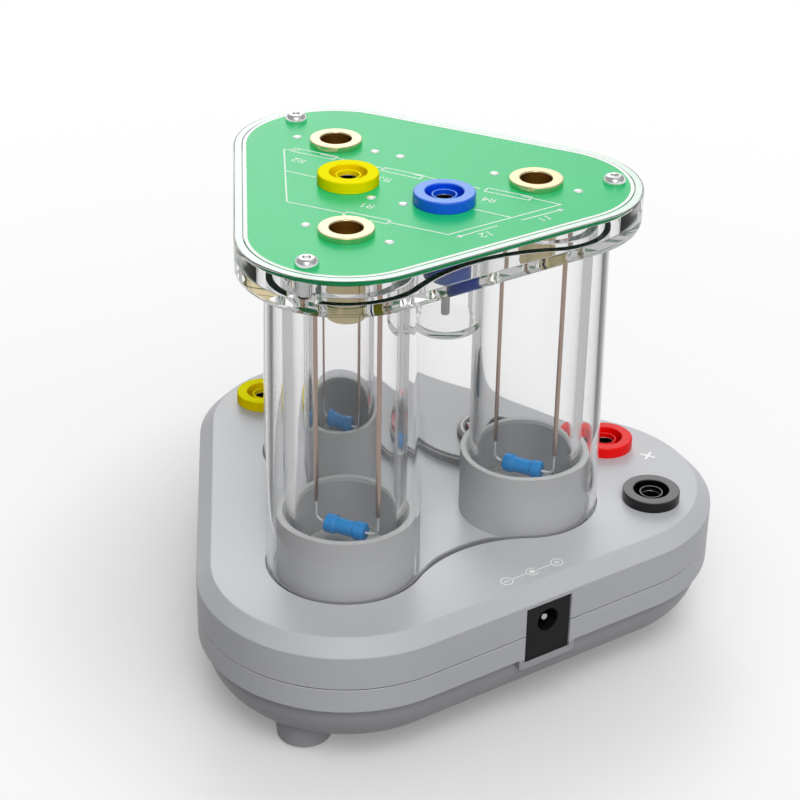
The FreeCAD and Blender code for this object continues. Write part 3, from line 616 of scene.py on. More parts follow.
footSizes = {"arm": 56.0, "radius": 6.3, "taper": 0.25, "edge": 0.3, "bottom": 0.5, "top": 6.6,
             "padSeat": 5.0, "padTop": 1.6}
screwSizes = {"arm": 42.0, "post": 4.2, "postLow": 5.5, "postTop": 31.2, "hole": 1.5, "holeLow": 10.0,
              "holeTop": 30.0, "pilotLow": 20.0, "pilotTop": 30.5, "headHole": 3.2, "headSeat": 12.0}
openingSizes = {"socket": 4.9, "switch": 7.0, "low": 29.0, "high": 36.0, "under": -1.0}
jackSizes = {
    "half": 6.15, "low": 15.65, "high": 29.85, "before": 2.0, "behind": 13.0,
    "frameHalf": 7.55, "frameLow": 14.3, "frameUp": 2.0, "frameStart": 0.01, "frameDepth": 2.5,
    "frameRound": 1.0, "blockHalf": 6.05, "blockLow": 15.75, "blockHigh": 29.75, "inset": 0.3, "depth": 13.0,
    "x": 0.0, "height": 25.0, "mouth": 2.7, "mouthEdge": 0.15, "mouthDepth": 9.7, "softEdge": 0.12,
    "pin": 1.0, "pinLength": 8.7, "ease": 0.02, "pinSunk": 1.0, "pinTip": 0.15,
}
socketPlaces = {
    "board_yellow": ((-17.08, -5.54, boardTop), "yellowPlastic", "yellow_plastic"),
    "board_blue": ((-5.82, -24.96, boardTop), "bluePlastic", "blue_plastic"),
    "base_yellow": ((-9.7, 44.6, caseSizes["top"]), "yellowPlastic", "yellow_plastic"),
    "base_red": ((47.94, -19.09, caseSizes["top"]), "redPlastic", "red_plastic"),
    "base_black": ((41.4, -44.1, caseSizes["top"]), "blackPlastic", "black_plastic"),
}
switchPlace = (27.6, 2.0)
screwPlaces = cornerPlaces(caseMiddle, screwSizes["arm"])
footPlaces = cornerPlaces(caseMiddle, footSizes["arm"])


def jackOpening():
    # the block of space that the inlet stands in
    j = jackSizes
    return boxShape((-j["half"], caseFront - j["before"], j["low"]),
                    (j["half"], caseFront + j["behind"], j["high"]))


def makeUpperCase():
    # rings down the inside wall, out over the rim, up the wall and chamfer, in over the top and down into
    # the recess
    c, s, o = caseSizes, screwSizes, openingSizes
    wall = softened([(c["wall"], c["ceiling"], 0), (c["wall"], seamHigh, 0), (0, seamHigh, c["seamRound"]),
                     (0, c["top"] - c["chamfer"], c["chamferRound"]),
                     (c["chamfer"], c["top"], c["chamferRound"]),
                     (c["chamfer"] + c["flat"], c["top"], 0)])
    rim = softened([(c["rimFlat"], c["top"], 0), (0, c["top"], c["rimRound"]), (0, recessFloor, 0.3),
                    (-c["flat"], recessFloor, 0)])
    rings = [caseRing(*mark) for mark in wall] + [lobedRing(*mark) for mark in rim]
    item = newObject("caseUpper", [gridShape(rings)])
    carve(item, [post(s["post"], seamHigh, s["postTop"], place) for place in screwPlaces], "UNION")
    holes = [post(s["hole"], s["pilotLow"], s["pilotTop"], place) for place in screwPlaces]
    holes += [post(o["socket"], o["low"], o["high"], socketPlaces[name][0][:2])
              for name in ("base_yellow", "base_red", "base_black")]
    holes += [post(o["switch"], o["low"], o["high"], switchPlace), jackOpening()]
    carve(item, holes)
    addPiece(item, "caseGrey", "case_grey", ["base_upper_shell"])


def jackFrame():
    # an upright plate in front of the case's lower half, its two lower corners round
    j = jackSizes
    half, low, bend, high = j["frameHalf"], j["frameLow"], j["frameRound"], caseSizes["skirt"] + j["frameUp"]
    outline = np.concatenate([[[-half, high]],
                              np.array([-half + bend, low + bend]) + bend * ray(np.linspace(180, 270, 7)),
                              np.array([half - bend, low + bend]) + bend * ray(np.linspace(270, 360, 7)),
                              [[half, high]]])
    return gridShape([np.insert(outline, 1, y, axis=1)
                      for y in (caseFront + j["frameStart"], caseFront + j["frameDepth"])])


def makeLowerCase():
    # rings from the flat underside round the belly, out under the band, up it, over the rim, down the inside
    c, f, s, under = caseSizes, footSizes, screwSizes, openingSizes["under"]
    inner, floorTop = c["bellyInset"] + c["wall"], c["bottom"] + c["wall"]
    path = softened([(c["bellyInset"] + c["bellyRound"] + c["turnIn"], c["bottom"], 0),
                     (c["bellyInset"], c["bottom"], c["bellyRound"]), (c["bellyInset"], c["skirt"], 0.25),
                     (0, c["skirt"], 0.35), (0, seamLow, c["seamRound"]), (inner, seamLow, 0.2),
                     (inner, floorTop, c["cavityRound"]),
                     (inner + c["cavityRound"] + c["turnIn"], floorTop, 0)], steps=12)
    item = newObject("caseLower", [gridShape([roundCaseRing(*mark) for mark in path])])
    added = [jackFrame()]
    for footPlace, screwPlace in zip(footPlaces, screwPlaces):
        narrow, wide = f["radius"] - f["taper"], f["radius"] + f["taper"]
        added.append(turned([(narrow - f["edge"], f["bottom"], 0), (narrow, f["bottom"], f["edge"]),
                             (wide, f["top"], 0)], footPlace, segments=64))
        added.append(post(s["post"], s["postLow"], seamLow - towerSizes["clear"], screwPlace))
    carve(item, added, "UNION")
    holes = [jackOpening()]
    for footPlace, screwPlace in zip(footPlaces, screwPlaces):
        holes += [post(f["padSeat"], under, f["padTop"], footPlace),
                  post(s["headHole"], under, s["headSeat"], screwPlace),
                  post(s["hole"], s["holeLow"], s["holeTop"], screwPlace)]
    carve(item, holes)
    addPiece(item, "caseLowerGrey", "case_grey", ["base_lower_shell"])


printSizes = {
    "line": 0.21, "ring": 1.33, "opening": 35, "dot": 0.66, "sign": 0.7, "lift": 0.002,
    "minusX": -7.0, "middleX": -0.1, "plusX": 6.7, "y": -53.45,
    "plus": (53.5, -28.8), "plusHalf": 1.85, "plusLine": 0.6, "plusTurn": 30,
}


def makeCasePrint():
    # the centre-positive sign, and a plus beside the red socket
    p, z = printSizes, caseSizes["top"]
    line, ring, sign, y = p["line"], p["ring"], p["sign"], p["y"]
    minusX, middleX, plusX = p["minusX"], p["middleX"], p["plusX"]
    shapes = [circleStrip((minusX, y), ring, line, z), circleStrip((plusX, y), ring, line, z),
              circleStrip((middleX, y), ring, line, z, p["opening"], 360 - p["opening"]),
              circleStrip((middleX, y), p["dot"] / 2, p["dot"], z, steps=24)]
    for start, end in ((minusX + ring, middleX - ring), (middleX + p["dot"], plusX - ring),
                       (minusX - sign, minusX + sign), (plusX - sign, plusX + sign)):
        shapes.append(strip([(start, y), (end, y)], line, z))
    shapes.append(strip([(plusX, y - sign), (plusX, y + sign)], line, z + p["lift"]))
    centre = np.array(p["plus"])
    for turn, lift in ((p["plusTurn"], p["lift"]), (p["plusTurn"] - 90, 0)):
        arm = p["plusHalf"] * ray(turn)
        shapes.append(strip([centre - arm, centre + arm], p["plusLine"], z + lift))
    makePiece("casePrint", shapes, "printWhite", "case_grey")


def makeSeamShade():
    # a dark strip in the gap between the two case halves: painted shade for the gap's depth
    outer, inner, clear = 0.14, 1.0, towerSizes["clear"]
    line = band(roundCaseRing, boxSection(outer, inner, seamLow + clear, seamHigh - clear))
    addPiece(carve(newObject("case_seam_painted_shade", [line]), [jackOpening()]), "sealBlack", "case_grey")


ribSizes = {"outer": 1.75, "inner": 2.35, "low": 1.0, "high": 1.6, "start": 0.3, "run": 3.0}


def makeRib():
    # a low rib just inside the clear shell's foot; with the distance to the nearest cup it rises from low to
    # high by a smooth step, three times the square of the share less twice its cube
    r, foot = ribSizes, recessFloor - towerSizes["clear"]
    places = chambers.values()
    away = np.min([np.linalg.norm(lobedPoints + towerAxis - place, axis=1) for place in places], axis=0)
    share = np.clip((away - towerSizes["lobe"] - r["start"]) / r["run"], 0, 1)
    top = r["low"] + (r["high"] - r["low"]) * share ** 2 * (3 - 2 * share)
    section = boxSection(r["outer"], r["inner"], 0, 1)
    shape = band(lambda inset, rise: lobedRing(-inset, foot + rise * top), section)
    # its darker grey is painted shade from the shell's foot and the narrow gap beside it
    makePiece("case_rib", [shape], "ribGrey", "case_grey")


def makeJack():
    # the block's front face opens into the mouth; the pin stands in its middle. Both are outlines on the same
    # rays from the mouth's axis: a circle, and the block's sides where a ray meets the nearest of them
    j = jackSizes
    middle, front = np.array([j["x"], j["height"]]), caseFront + j["inset"]
    low, high = np.array([-j["blockHalf"], j["blockLow"]]), np.array([j["blockHalf"], j["blockHigh"]])
    toCorner = np.array([(x, z) for x in (low[0], high[0]) for z in (low[1], high[1])]) - middle
    cornerAngles = np.degrees(np.arctan2(toCorner[:, 1], toCorner[:, 0])) % 360
    heading = ray(np.unique(np.round(np.concatenate([np.arange(0, 360, 5.0), cornerAngles]), 6)))
    tiny = 1e-9

    def mouth(radius, y):
        flat = np.reshape(radius, (-1, 1)) * heading + middle
        return np.insert(flat, 1, front + y, axis=1)

    def block(inset, y):
        side = np.where(heading > 0, high - inset, low + inset) - middle
        with np.errstate(divide="ignore"):
            toSide = np.where(np.abs(heading) < tiny, np.inf, side / heading)
        return mouth(np.min(toSide, axis=1), y)

    edge = j["mouthEdge"]
    rings = [mouth(j["mouth"], j["mouthDepth"]), mouth(j["mouth"], edge), mouth(j["mouth"] + edge, 0),
             block(2 * edge, 0), block(j["softEdge"], j["ease"]), block(0, edge),
             block(0, j["depth"] - edge), block(edge, j["depth"])]
    makePiece("jackBlock", [gridShape(rings)], "jackBlack", "black_plastic", ["jack_body"])
    tip = j["pinLength"]
    pin = turned([(j["pin"] - j["ease"], -j["pinSunk"], 0), (j["pin"], tip - j["ease"], 0.6),
                  (j["pinTip"], tip, 0)], segments=32, steps=6)
    place = Matrix.Translation((j["x"], front + j["mouthDepth"], j["height"])) @ turnAbout("X", 90)
    makePiece("jackPin", [moved(pin, place)], "nickel", "tinned_metal", ["jack_pin"])


makeUpperCase()
makeLowerCase()
makeCasePrint()
makeSeamShade()
makeRib()
makeJack()
print("case done")


# Switch

switchSizes = {
    "turn": 30, "tilt": 10, "bezel": 8.0, "high": 2.0, "barrel": 6.9, "depth": 14.0, "bore": 5.9,
    "boreDepth": 6.5, "underIn": 0.5, "sideDrop": 0.7, "bevel": 0.5, "faceDrop": 0.4,
    "rocker": 5.4, "middle": 0.94, "wing": 1.4, "valley": 0.004, "valleyDrop": 0.063, "skirt": 1.0,
    "skirtIn": 0.6, "skirtEdge": 0.3, "drop": 1.3, "edge": 0.12, "ease": 0.03, "crown": 0.35,
    "pole": 0.25, "foot": 2.4,
}
faceMarks = {  # across, up and rounding, from the top of the bezel's edge and of the bore
    "bezel": [(-0.05, -0.65, 0.05), (-0.1, -0.5, 0.1), (-0.9, 0, 0.5)],
    "bore": [(0.5, 0, 0.3), (0.03, -0.5, 0.1), (0.03, -0.62, 0.05)],
}


def makeSwitch():
    # a turned body and a turned face ring
    s, low, face = switchSizes, caseSizes["top"] - switchSizes["depth"], caseSizes["top"]
    top, bezel, bore = face + s["high"], s["bezel"], s["bore"]
    shoulder = top - s["faceDrop"]
    body = turned([(s["barrel"] - s["underIn"], low, 0), (s["barrel"], low, 0.4), (s["barrel"], face, 0),
                   (bezel, face, 0.15), (bezel, top - s["sideDrop"], 0), (bezel - s["bevel"], shoulder, 0),
                   (bore, shoulder, 0), (bore, top - s["boreDepth"], 0)], switchPlace)
    makePiece("switchBody", [body], "blackPlastic", "black_plastic", ["switch_bezel"])
    marks = [(s[edge] + across, top + up, rounding)
             for edge, part in faceMarks.items() for across, up, rounding in part]
    ring = turned(marks, switchPlace, loop=True, steps=4)
    makePiece("switchFace", [ring], "faceRing", "steel")


def makeRocker():
    # its top is two wings that rise from a soft valley, which just covers the pivot: the rise is the root of
    # (across / radius) squared plus a little, less the valley's drop
    s, radius, sides = switchSizes, switchSizes["rocker"], 72
    circle = ray(np.arange(sides) * 360 / sides)
    radii = np.concatenate([[radius - s["edge"]], np.linspace(radius - s["crown"], s["pole"], 16)])
    across = radii[:, None] * circle[:, 0]
    rise = np.sqrt((across / radius) ** 2 + s["valley"]) - s["valleyDrop"]
    height = s["middle"] + (s["wing"] - s["middle"]) * rise
    wings = np.dstack([across, radii[:, None] * circle[:, 1], height])
    edge = wings[:1].copy()
    edge[..., :2] = radius * circle
    edge[..., 2] -= s["edge"]
    wings[0, :, 2] -= s["ease"]
    skirt = turnedRings([(s["foot"], -s["foot"]), (radius - s["skirtIn"], -s["skirt"]),
                         (radius, -s["skirt"] + s["skirtEdge"])], segments=sides)
    place = (Matrix.Translation((*switchPlace, caseSizes["top"] + s["high"] - s["drop"]))
             @ turnAbout("Z", s["turn"]) @ turnAbout("Y", s["tilt"]))
    makePiece("switchRocker", [moved(gridShape(np.concatenate([skirt, edge, wings])), place)], "rockerRed",
              "red_plastic", ["switch_rocker"], "rocker")


makeSwitch()
makeRocker()
print("switch done")


# Chambers: cup, clear tube, port, rods, resistor and leads

cupSizes = {"radius": 15.1, "high": 15.4, "bore": 13.2, "funnel": 0.6, "floor": 3.6, "lift": 0.01,
            "tubeLift": 0.03, "underIn": 0.3, "floorIn": 1.0}
portSizes = {"flange": 5.8, "flangeHigh": 1.35, "barrel": 4.0, "bore": 3.45, "length": 18.0}
rodSizes = {"radius": 0.5, "tip": 0.2, "reach": 7.5, "low": 47.8, "high": 110.6}
resistorSizes = {"height": 43.0, "length": 9.6, "cap": 2.15, "capLength": 2.3, "slope": 0.45, "waist": 1.8,
                 "end": 0.5, "wire": 0.3, "wireIn": 0.2, "bend": 1.6}


def makeResistor(name, place):
    # a dog-bone body lying between the rods, and two wires that bend up to the rods' ends
    r, up, reach = resistorSizes, rodSizes["low"] - resistorSizes["height"], rodSizes["reach"]
    half, cap, waist, bend = r["length"] / 2, r["cap"], r["waist"], r["bend"]
    step = half - r["capLength"]
    body = turned([(r["end"], -half, 0), (cap, -half, 0.55), (cap, -step, 0.35),
                   (waist, -step + r["slope"], 0.3), (waist, step - r["slope"], 0.3), (cap, step, 0.35),
                   (cap, half, 0.55), (r["end"], half, 0)], segments=48)
    lie = Matrix.Translation((*place, r["height"])) @ turnAbout("Z", rodTurn)
    makePiece("resistor_body_" + name, [moved(body, lie @ turnAbout("Y", 90))], "resistorBlue",
              "resistor_blue", ["resistor_" + name])
    arc = np.array([reach - bend, bend]) + bend * ray(np.linspace(-90, 0, 9))
    path = np.concatenate([[[half - r["wireIn"], 0]], arc, [[reach, up]]])
    wire = gridShape(tubeRings(np.insert(path, 1, 0, axis=1), r["wire"]))
    pair = [moved(wire, lie @ turnAbout("Z", side)) for side in (0, 180)]
    makePiece("resistor_wires_" + name, pair, "leadTin", "tinned_metal", ["leads_" + name])


def makeChamber(name, place):
    # turned profiles about the chamber's axis
    c, p, r, t = cupSizes, portSizes, rodSizes, towerSizes
    cup = turned([(c["radius"] - c["underIn"], 0, 0), (c["radius"], 0, 0.25), (c["radius"], c["high"], 0.15),
                  (c["bore"] + c["funnel"], c["high"], 0.1), (c["bore"], c["high"] - c["funnel"], 0.1),
                  (c["bore"], c["floor"], 0), (c["bore"] - c["floorIn"], c["floor"], 0)],
                 place, recessFloor + c["lift"], 160)
    makePiece("chamber_cup_" + name, [cup], "cupGrey", "case_grey", ["cup_" + name])
    low = recessFloor + c["floor"] + c["tubeLift"]
    tube = turned([(t["tubeBore"], low, 0.25), (t["tubeRadius"], low, 0.25),
                   (t["tubeRadius"], t["tubeTop"], 0.25), (t["tubeBore"], t["tubeTop"], 0.25)],
                  place, 0, 192, loop=True, steps=4)
    makePiece("chamber_tube_" + name, [tube], "clearTube", "clear_plastic", ["inner_tube_" + name])
    long, top = p["length"], p["length"] + p["flangeHigh"]
    port = turned([(p["bore"], 0, 0.2), (p["barrel"], 0, 0.2), (p["barrel"], long, 0),
                   (p["flange"], long + t["clear"], 0.12), (p["flange"], top, 0.22), (p["bore"], top, 0.3)],
                  place, boardTop - long, 128, loop=True)
    makePiece("port_" + name, [port], "brass", "brass", ["port_bushing_" + name])
    for side, sign in (("far", -1), ("near", 1)):
        rod = turned([(r["tip"], r["low"], 0), (r["radius"], r["low"], 0.06), (r["radius"], r["high"], 0)],
                     place + sign * r["reach"] * ray(rodTurn), 0, 24, steps=3)
        makePiece("rod_rod_%s_%s" % (name, side), [rod], "copper", "copper", ["rod_%s_%s" % (name, side)])
    makeResistor(name, place)


for name, place in chambers.items():
    makeChamber(name, place)
print("chambers done")


# Clear outer shell and tray

traySizes = {
    "arm": 28.16, "radius": 22.45, "low": 103.85, "floor": 1.5, "round": 1.8, "lipInset": 1.98,
    "ledge": 110.58, "cavityInset": 4.4, "flat": 1.0, "sink": 0.5, "boss": 3.3, "bossArm": 44.5,
    "well": 8.2, "wellBore": 7.0, "wellLow": 84.2, "wellFloor": 1.2, "screwHole": 1.5, "screwRise": 0.6,
    "screwTop": 115.0, "portHole": 4.2, "rodHole": 0.9, "holeLow": 102.0, "holeTop": 108.0,
    "rimOut": 0.4, "rimIn": 1.8, "rimHigh": 0.03, "over": 1.0,
}
bossPlaces = cornerPlaces(towerAxis, traySizes["bossArm"])


def trayRing(inset, height):
    # the tray's outline, three arcs, drawn in by the inset
    return triangleRing(towerAxis, traySizes["arm"], traySizes["radius"] - inset, height)


def makeShell():
    # outer wall up, over the top, inner wall down; a thin dark seal lies between its top and the tray, and a
    # thin dark strip under its foot is painted shade where the foot stands in the recess
    t, clear, inset = towerSizes, towerSizes["clear"], towerSizes["sealInset"]
    low, high, wall = recessFloor + clear, t["shellTop"], -t["shellWall"]
    path = softened([(0, low, 0.2), (0, high, 0.15), (wall, high, 0.15), (wall, low, 0.2)], 4, loop=True)
    makePiece("clear_shell", [band(shellRing, path)], "clearPlastic", "clear_plastic", ["outer_shell"])
    seal = boxSection(-inset, inset + wall, high + clear, high + t["seal"] - clear)
    makePiece("seal_ring", [band(shellRing, seal)], "sealBlack", "black_plastic", ["shell_seal"])
    # painted shade: a dark strip just under the shell's foot
    foot = boxSection(t["footOut"], wall, low - t["footLow"], low - t["footHigh"])
    makePiece("shell_foot_painted_shade", [band(shellRing, foot)], "footDark", "black_plastic")


def makeTray():
    # under the floor, up the outside, over the lip, down to the ledge and the cavity floor
    t = traySizes
    floorTop, flat, wellTop = t["low"] + t["floor"], t["flat"], t["wellLow"] + t["wellFloor"]
    path = softened([(t["round"] + flat, t["low"], 0), (0, t["low"], t["round"]), (0, boardTop, 0.3),
                     (t["lipInset"], boardTop, 0.2), (t["lipInset"], t["ledge"], 0),
                     (t["cavityInset"], t["ledge"], 0.2), (t["cavityInset"], floorTop, 0.3),
                     (t["cavityInset"] + flat, floorTop, 0)])
    item = newObject("clear_tray", [gridShape([trayRing(*mark) for mark in path])])
    wells = [socketPlaces[name][0][:2] for name in ("board_yellow", "board_blue")]
    inside = floorTop - t["sink"]
    added = [post(t["boss"], inside, t["ledge"] - towerSizes["clear"], place) for place in bossPlaces]
    added += [turned([(t["well"] - flat, t["wellLow"], 0), (t["well"], t["wellLow"], 0.8),
                      (t["well"], inside, 0)], place, segments=128) for place in wells]
    carve(item, added, "UNION")
    holes = [turned([(t["wellBore"] - flat, wellTop, 0), (t["wellBore"], wellTop, 0.6),
                     (t["wellBore"], boardTop + t["over"], 0)], place, segments=128) for place in wells]
    holes += [post(t["screwHole"], floorTop + t["screwRise"], t["screwTop"], place) for place in bossPlaces]
    holes += [post(t["portHole"], t["holeLow"], t["holeTop"], place, 96) for place in chambers.values()]
    holes += [post(t["rodHole"], t["holeLow"], t["holeTop"], place + sign * rodSizes["reach"] * ray(rodTurn))
              for place in chambers.values() for sign in (-1, 1)]
    carve(item, holes)
    addPiece(item, "clearTray", "clear_plastic", ["cap_tray"])
    # a pale band painted on the upper face of its lip: a painted highlight for the light that the clear lip
    # catches
    rim = boxSection(t["rimOut"], t["rimIn"], boardTop - t["rimHigh"] / 2, boardTop + t["rimHigh"])
    makePiece("tray_rim_painted_highlight", [band(trayRing, rim)], "rimPale", "clear_plastic")


makeShell()
makeTray()
print("shell and tray done")


# Sockets

socketSizes = {
    "flange": 6.6, "flangeHigh": 2.6, "lift": 0.01, "barrel": 4.8, "deep": 17.0, "shroud": 4.05,
    "shroudDeep": 12.0, "core": 2.75, "coreBore": 2.32, "coreDrop": 0.7, "floor": 3.0,
    "tail": 1.0, "tailHole": 1.05, "tailLength": 8.5, "tipIn": 0.3,
    "sleeve": 2.3, "sleeveBore": 2.03, "sleeveDrop": 1.7, "sleeveFloor": 1.0, "floorIn": 0.5,
}


def makeSocket(name, place, finish, slotName):
    # two turned profiles: the housing with its shroud and core, and the metal sleeve in the core
    s, (x, y, face) = socketSizes, place
    deep, bore, tail = s["deep"], s["sleeveBore"], s["tailHole"]
    top = deep + s["flangeHigh"]
    low, rim = top - s["shroudDeep"], top - s["coreDrop"]
    housing = turned([(tail, 0, 0), (s["barrel"], 0, 0.3), (s["barrel"], deep, 0),
                      (s["flange"], deep + s["lift"], 0.15), (s["flange"], top, 0.35),
                      (s["shroud"], top, 0.3), (s["shroud"], low, 0), (s["core"], low, 0),
                      (s["core"], rim, 0.15), (s["coreBore"], rim, 0.15), (s["coreBore"], s["floor"], 0),
                      (tail, s["floor"], 0)], (x, y), face - deep, 112, loop=True)
    makePiece("housing_" + name, [housing], finish, slotName, [name + "_socket"])
    lift, tail = s["tailLength"], s["tail"]
    low, rim = lift + s["floor"], lift + top - s["sleeveDrop"]
    sleeve = turned([(tail - s["tipIn"], 0, 0), (tail, 0, 0.25), (tail, low, 0), (s["sleeve"], low, 0),
                     (s["sleeve"], rim, 0.1), (bore, rim, 0.12), (bore, low + s["sleeveFloor"], 0),
                     (bore - s["floorIn"], low + s["sleeveFloor"], 0)], (x, y), face - deep - lift, 64)
    makePiece("contact_" + name, [sleeve], "nickel", "tinned_metal", [name + "_sleeve"])


for name, (place, finish, slotName) in socketPlaces.items():
    makeSocket(name, place, finish, slotName)
print("sockets done")


# Board: screws, solder pads and the printed circuit

buttonSizes = {"shank": 1.45, "long": 6.0, "point": 0.2, "head": 2.45, "high": 1.65, "edge": 0.35,
               "under": 0.05, "crown": 1.16, "crownIn": 0.1, "hex": 0.85, "hexDeep": 0.9, "hexEdge": 0.06,
               "sides": 72}


def makeScrews():
    # button heads: a round edge, a dome, and a six-sided socket in its crown, whose radius grows by 1 over
    # the cosine of the angle from the middle of a side
    b, sides = buttonSizes, buttonSizes["sides"]
    crown, high = b["crown"], b["high"]
    dome = np.linspace(0, math.pi / 2, 9)
    radii = crown + (b["head"] - crown) * np.cos(dome)
    heights = b["edge"] + (high - b["edge"]) * np.sin(dome)
    profile = [(b["shank"] - b["point"], -b["long"]), (b["shank"], -b["long"] + b["point"]), (b["shank"], 0),
               (b["head"] - b["under"], 0), (b["head"], b["under"]), *zip(radii, heights),
               (crown - b["crownIn"], high)]
    angles = np.arange(sides) * 360 / sides
    hexagon = ray(angles) / np.cos(np.radians((angles + 30) % 60 - 30))[:, None]
    flat, edge = b["hex"], b["hexEdge"]
    steps = [(flat + edge, high), (flat, high - edge), (flat, high - b["hexDeep"])]
    shapes = []
    for place in bossPlaces:
        socket = [atHeight(radius * hexagon + place, boardTop + height) for radius, height in steps]
        shapes.append(gridShape(np.concatenate([turnedRings(profile, place, boardTop, sides), socket])))
    makePiece("button_screws", shapes, "steel", "steel", ["board_screws"])


padSizes = {"radius": 0.98, "edge": 0.04, "high": 0.28, "sink": 0.02}
padPlaces = [(-5.20, 35.60), (4.75, 19.22), (7.85, 13.87), (19.69, -4.74), (29.00, -21.95), (-6.14, -7.86),
             (-9.93, -1.54), (-28.76, -6.05), (-19.14, -22.13)]  # about the tower axis


def makePads():
    # low domes of solder
    p, rise = padSizes, np.radians([0, 20, 40, 60, 80])
    profile = [(p["radius"] + p["edge"], -p["sink"])]
    profile += [(p["radius"] * math.cos(angle) + p["edge"], p["high"] * math.sin(angle)) for angle in rise]
    places = towerAxis + np.array(padPlaces)
    shapes = [gridShape(turnedRings(profile, place, boardTop, 32)) for place in places]
    makePiece("solder_pads", shapes, "solder", "tinned_metal")


glyphs = {  # pen strokes in a box one wide and one and a half high
    "R": [[(0, 0), (0, 1.5), (0.7, 1.5), (1, 1.2), (1, 1.0), (0.7, 0.75), (0, 0.75)], [(0.45, 0.75), (1, 0)]],
    "I": [[(0.5, 0), (0.5, 1.5)], [(0.2, 0), (0.8, 0)], [(0.2, 1.5), (0.8, 1.5)]],
    "1": [[(0.2, 1.2), (0.55, 1.5), (0.55, 0)]],
    "2": [[(0, 1.2), (0.3, 1.5), (0.7, 1.5), (1, 1.2), (1, 0.95), (0, 0), (1, 0)]],
    "3": [[(0, 1.5), (1, 1.5), (0.5, 0.9), (1, 0.55), (1, 0.3), (0.7, 0), (0.3, 0), (0, 0.3)]],
    "4": [[(0.75, 0), (0.75, 1.5), (0, 0.5), (1, 0.5)]],
}
circuitSizes = {"line": 0.26, "lift": 0.01, "boxHalf": 0.95, "letter": 1.15, "letterStep": 1.6, "pen": 0.2,
                "edgeOut": 20.33, "edgeIn": 19.61, "edgeLow": -0.015, "edgeHigh": 0.03}
circuitPaths = [  # these places, too, are about the tower axis
    [(-8.92, 28.6), (-11.55, 30.79), (-25.93, 5.94), (-18.98, -5.55)],
    [(-17.62, 20.31), (-13.85, 13.52)],
    [(-13.9, -14.0), (-7.12, -25.45), (21.48, -25.6), (17.2, -17.6)],
    [(-6.2, 24.2), (1.4, 9.2)], [(4.7, 3.9), (12.2, -9.8)],
    [(8.77, -25.5), (4.71, -17.98)],
    [(9.67, -27.6), (20.3, -27.8)], [(19.3, -27.3), (20.3, -27.8), (19.3, -28.3)],
    [(3.84, -27.2), (-6.34, -27.4)], [(-5.34, -26.9), (-6.34, -27.4), (-5.34, -27.9)],
]
circuitBoxes = [((-18.98, -5.55), (-13.9, -14.0)), ((-9.9, 29.6), (-4.6, 20.6)), ((0.7, 9.9), (5.2, 1.7)),
                ((12.9, -11.0), (18.0, -19.8))]
circuitLabels = [("R1", (-11.6, -5.4), 120), ("R2", (-10.7, 23.0), 120), ("R3", (-0.8, 4.4), 120),
                 ("R4", (11.6, -16.4), 120), ("I1", (15.6, -28.6), 180), ("I2", (0.8, -28.6), 180)]


def makeBoardPrint():
    # wires, resistor boxes, current arrows, pen-drawn names and the line round the board
    c, height = circuitSizes, boardTop + circuitSizes["lift"]
    shapes = [strip(towerAxis + np.array(path), c["line"], height) for path in circuitPaths]
    for start, end in circuitBoxes:
        start, end = np.array(start), np.array(end)
        heading = (end - start) / np.linalg.norm(end - start)
        side = np.array([-heading[1], heading[0]]) * c["boxHalf"]
        outline = [start + side, end + side, end - side, start - side, start + side]
        shapes.append(strip(towerAxis + np.array(outline), c["line"], height))
    for text, place, turn in circuitLabels:
        across, up = ray(turn), ray(turn + 90)
        for index, letter in enumerate(text):
            for path in glyphs[letter]:
                pen = np.array(path, float) * c["letter"] + (index * c["letterStep"], 0)
                stroke = towerAxis + np.array(place) + pen[:, :1] * across + pen[:, 1:] * up
                shapes.append(strip(stroke, c["pen"], height))
    edge, arm = boxSection(c["edgeOut"], c["edgeIn"], c["edgeLow"], c["edgeHigh"]), traySizes["arm"]
    shapes.append(band(lambda radius, rise: triangleRing(towerAxis, arm, radius, height + rise), edge))
    makePiece("board_print", shapes, "printWhite", "board_green")


makeScrews()
makePads()
makeBoardPrint()
print("board done")


# Stage, lamps, world and camera, in metres

stageSizes = {
    "floor": 6.0, "slab": 0.02, "gap": 0.00002, "matt": 0.97, "bounce": 0.14,
    "clearStart": 0.04, "clearEnd": 0.36, "least": 0.38, "dim": 0.47, "dimStart": 0.045, "dimEnd": 0.11,
}
skyLights = [  # direction of each soft light: turn, height; how narrow; how strong
    (240, 62, 30, 8.2), (60, 36, 30, 4.5), (60, 12, 30, 4.3), (240, 36, 30, 3.5),
    (285, 12, 30, 1.8), (15, 62, 30, 1.1), (285, 36, 30, 0.8),
]
backCard = {"turn": 56, "height": -29, "start": 0.869, "dark": 0.0, "bright": 0.45}  # behind the object, low
sightLevel = {"plain": 1.0, "deep": 0.5, "deepFrom": 4.5, "tube": 0.15, "tubeDepth": 7, "sky": 0.35,
              "skyGain": 0.30, "skyStart": 0.05, "skyEnd": 0.35}
cameraSizes = {"place": (-0.23515, -0.34352, 0.28227), "turn": -34.5043, "tilt": 61.0288, "roll": 0.9283,
               "lens": 92.09, "sensor": 36.0, "near": 0.01, "far": 50.0}


def facingTo(tree, heading, turn, height):
    # how nearly a heading points to a turn and height: the dot product, 1 when it does
    towards = (*(ray(turn) * math.cos(math.radians(height))), math.sin(math.radians(height)))
    return addNode(tree, "VectorMath", {"operation": "DOT_PRODUCT"}, i0=heading, i1=towards).outputs["Value"]


def sightNodes(tree):
    # plain: camera, gloss and clear plastic; bounced: sight through plastic that was reflected on its way
    path = lightPath(tree)
    reflected = mathNode(tree, "GREATER_THAN", path["Glossy Depth"], 0.5)
    bounced = mathNode(tree, "MULTIPLY", path["Is Transmission Ray"], reflected)
    beyond = mathNode(tree, "MAXIMUM", path["Is Glossy Ray"], path["Is Transmission Ray"])
    return mathNode(tree, "MAXIMUM", path["Is Camera Ray"], beyond), bounced


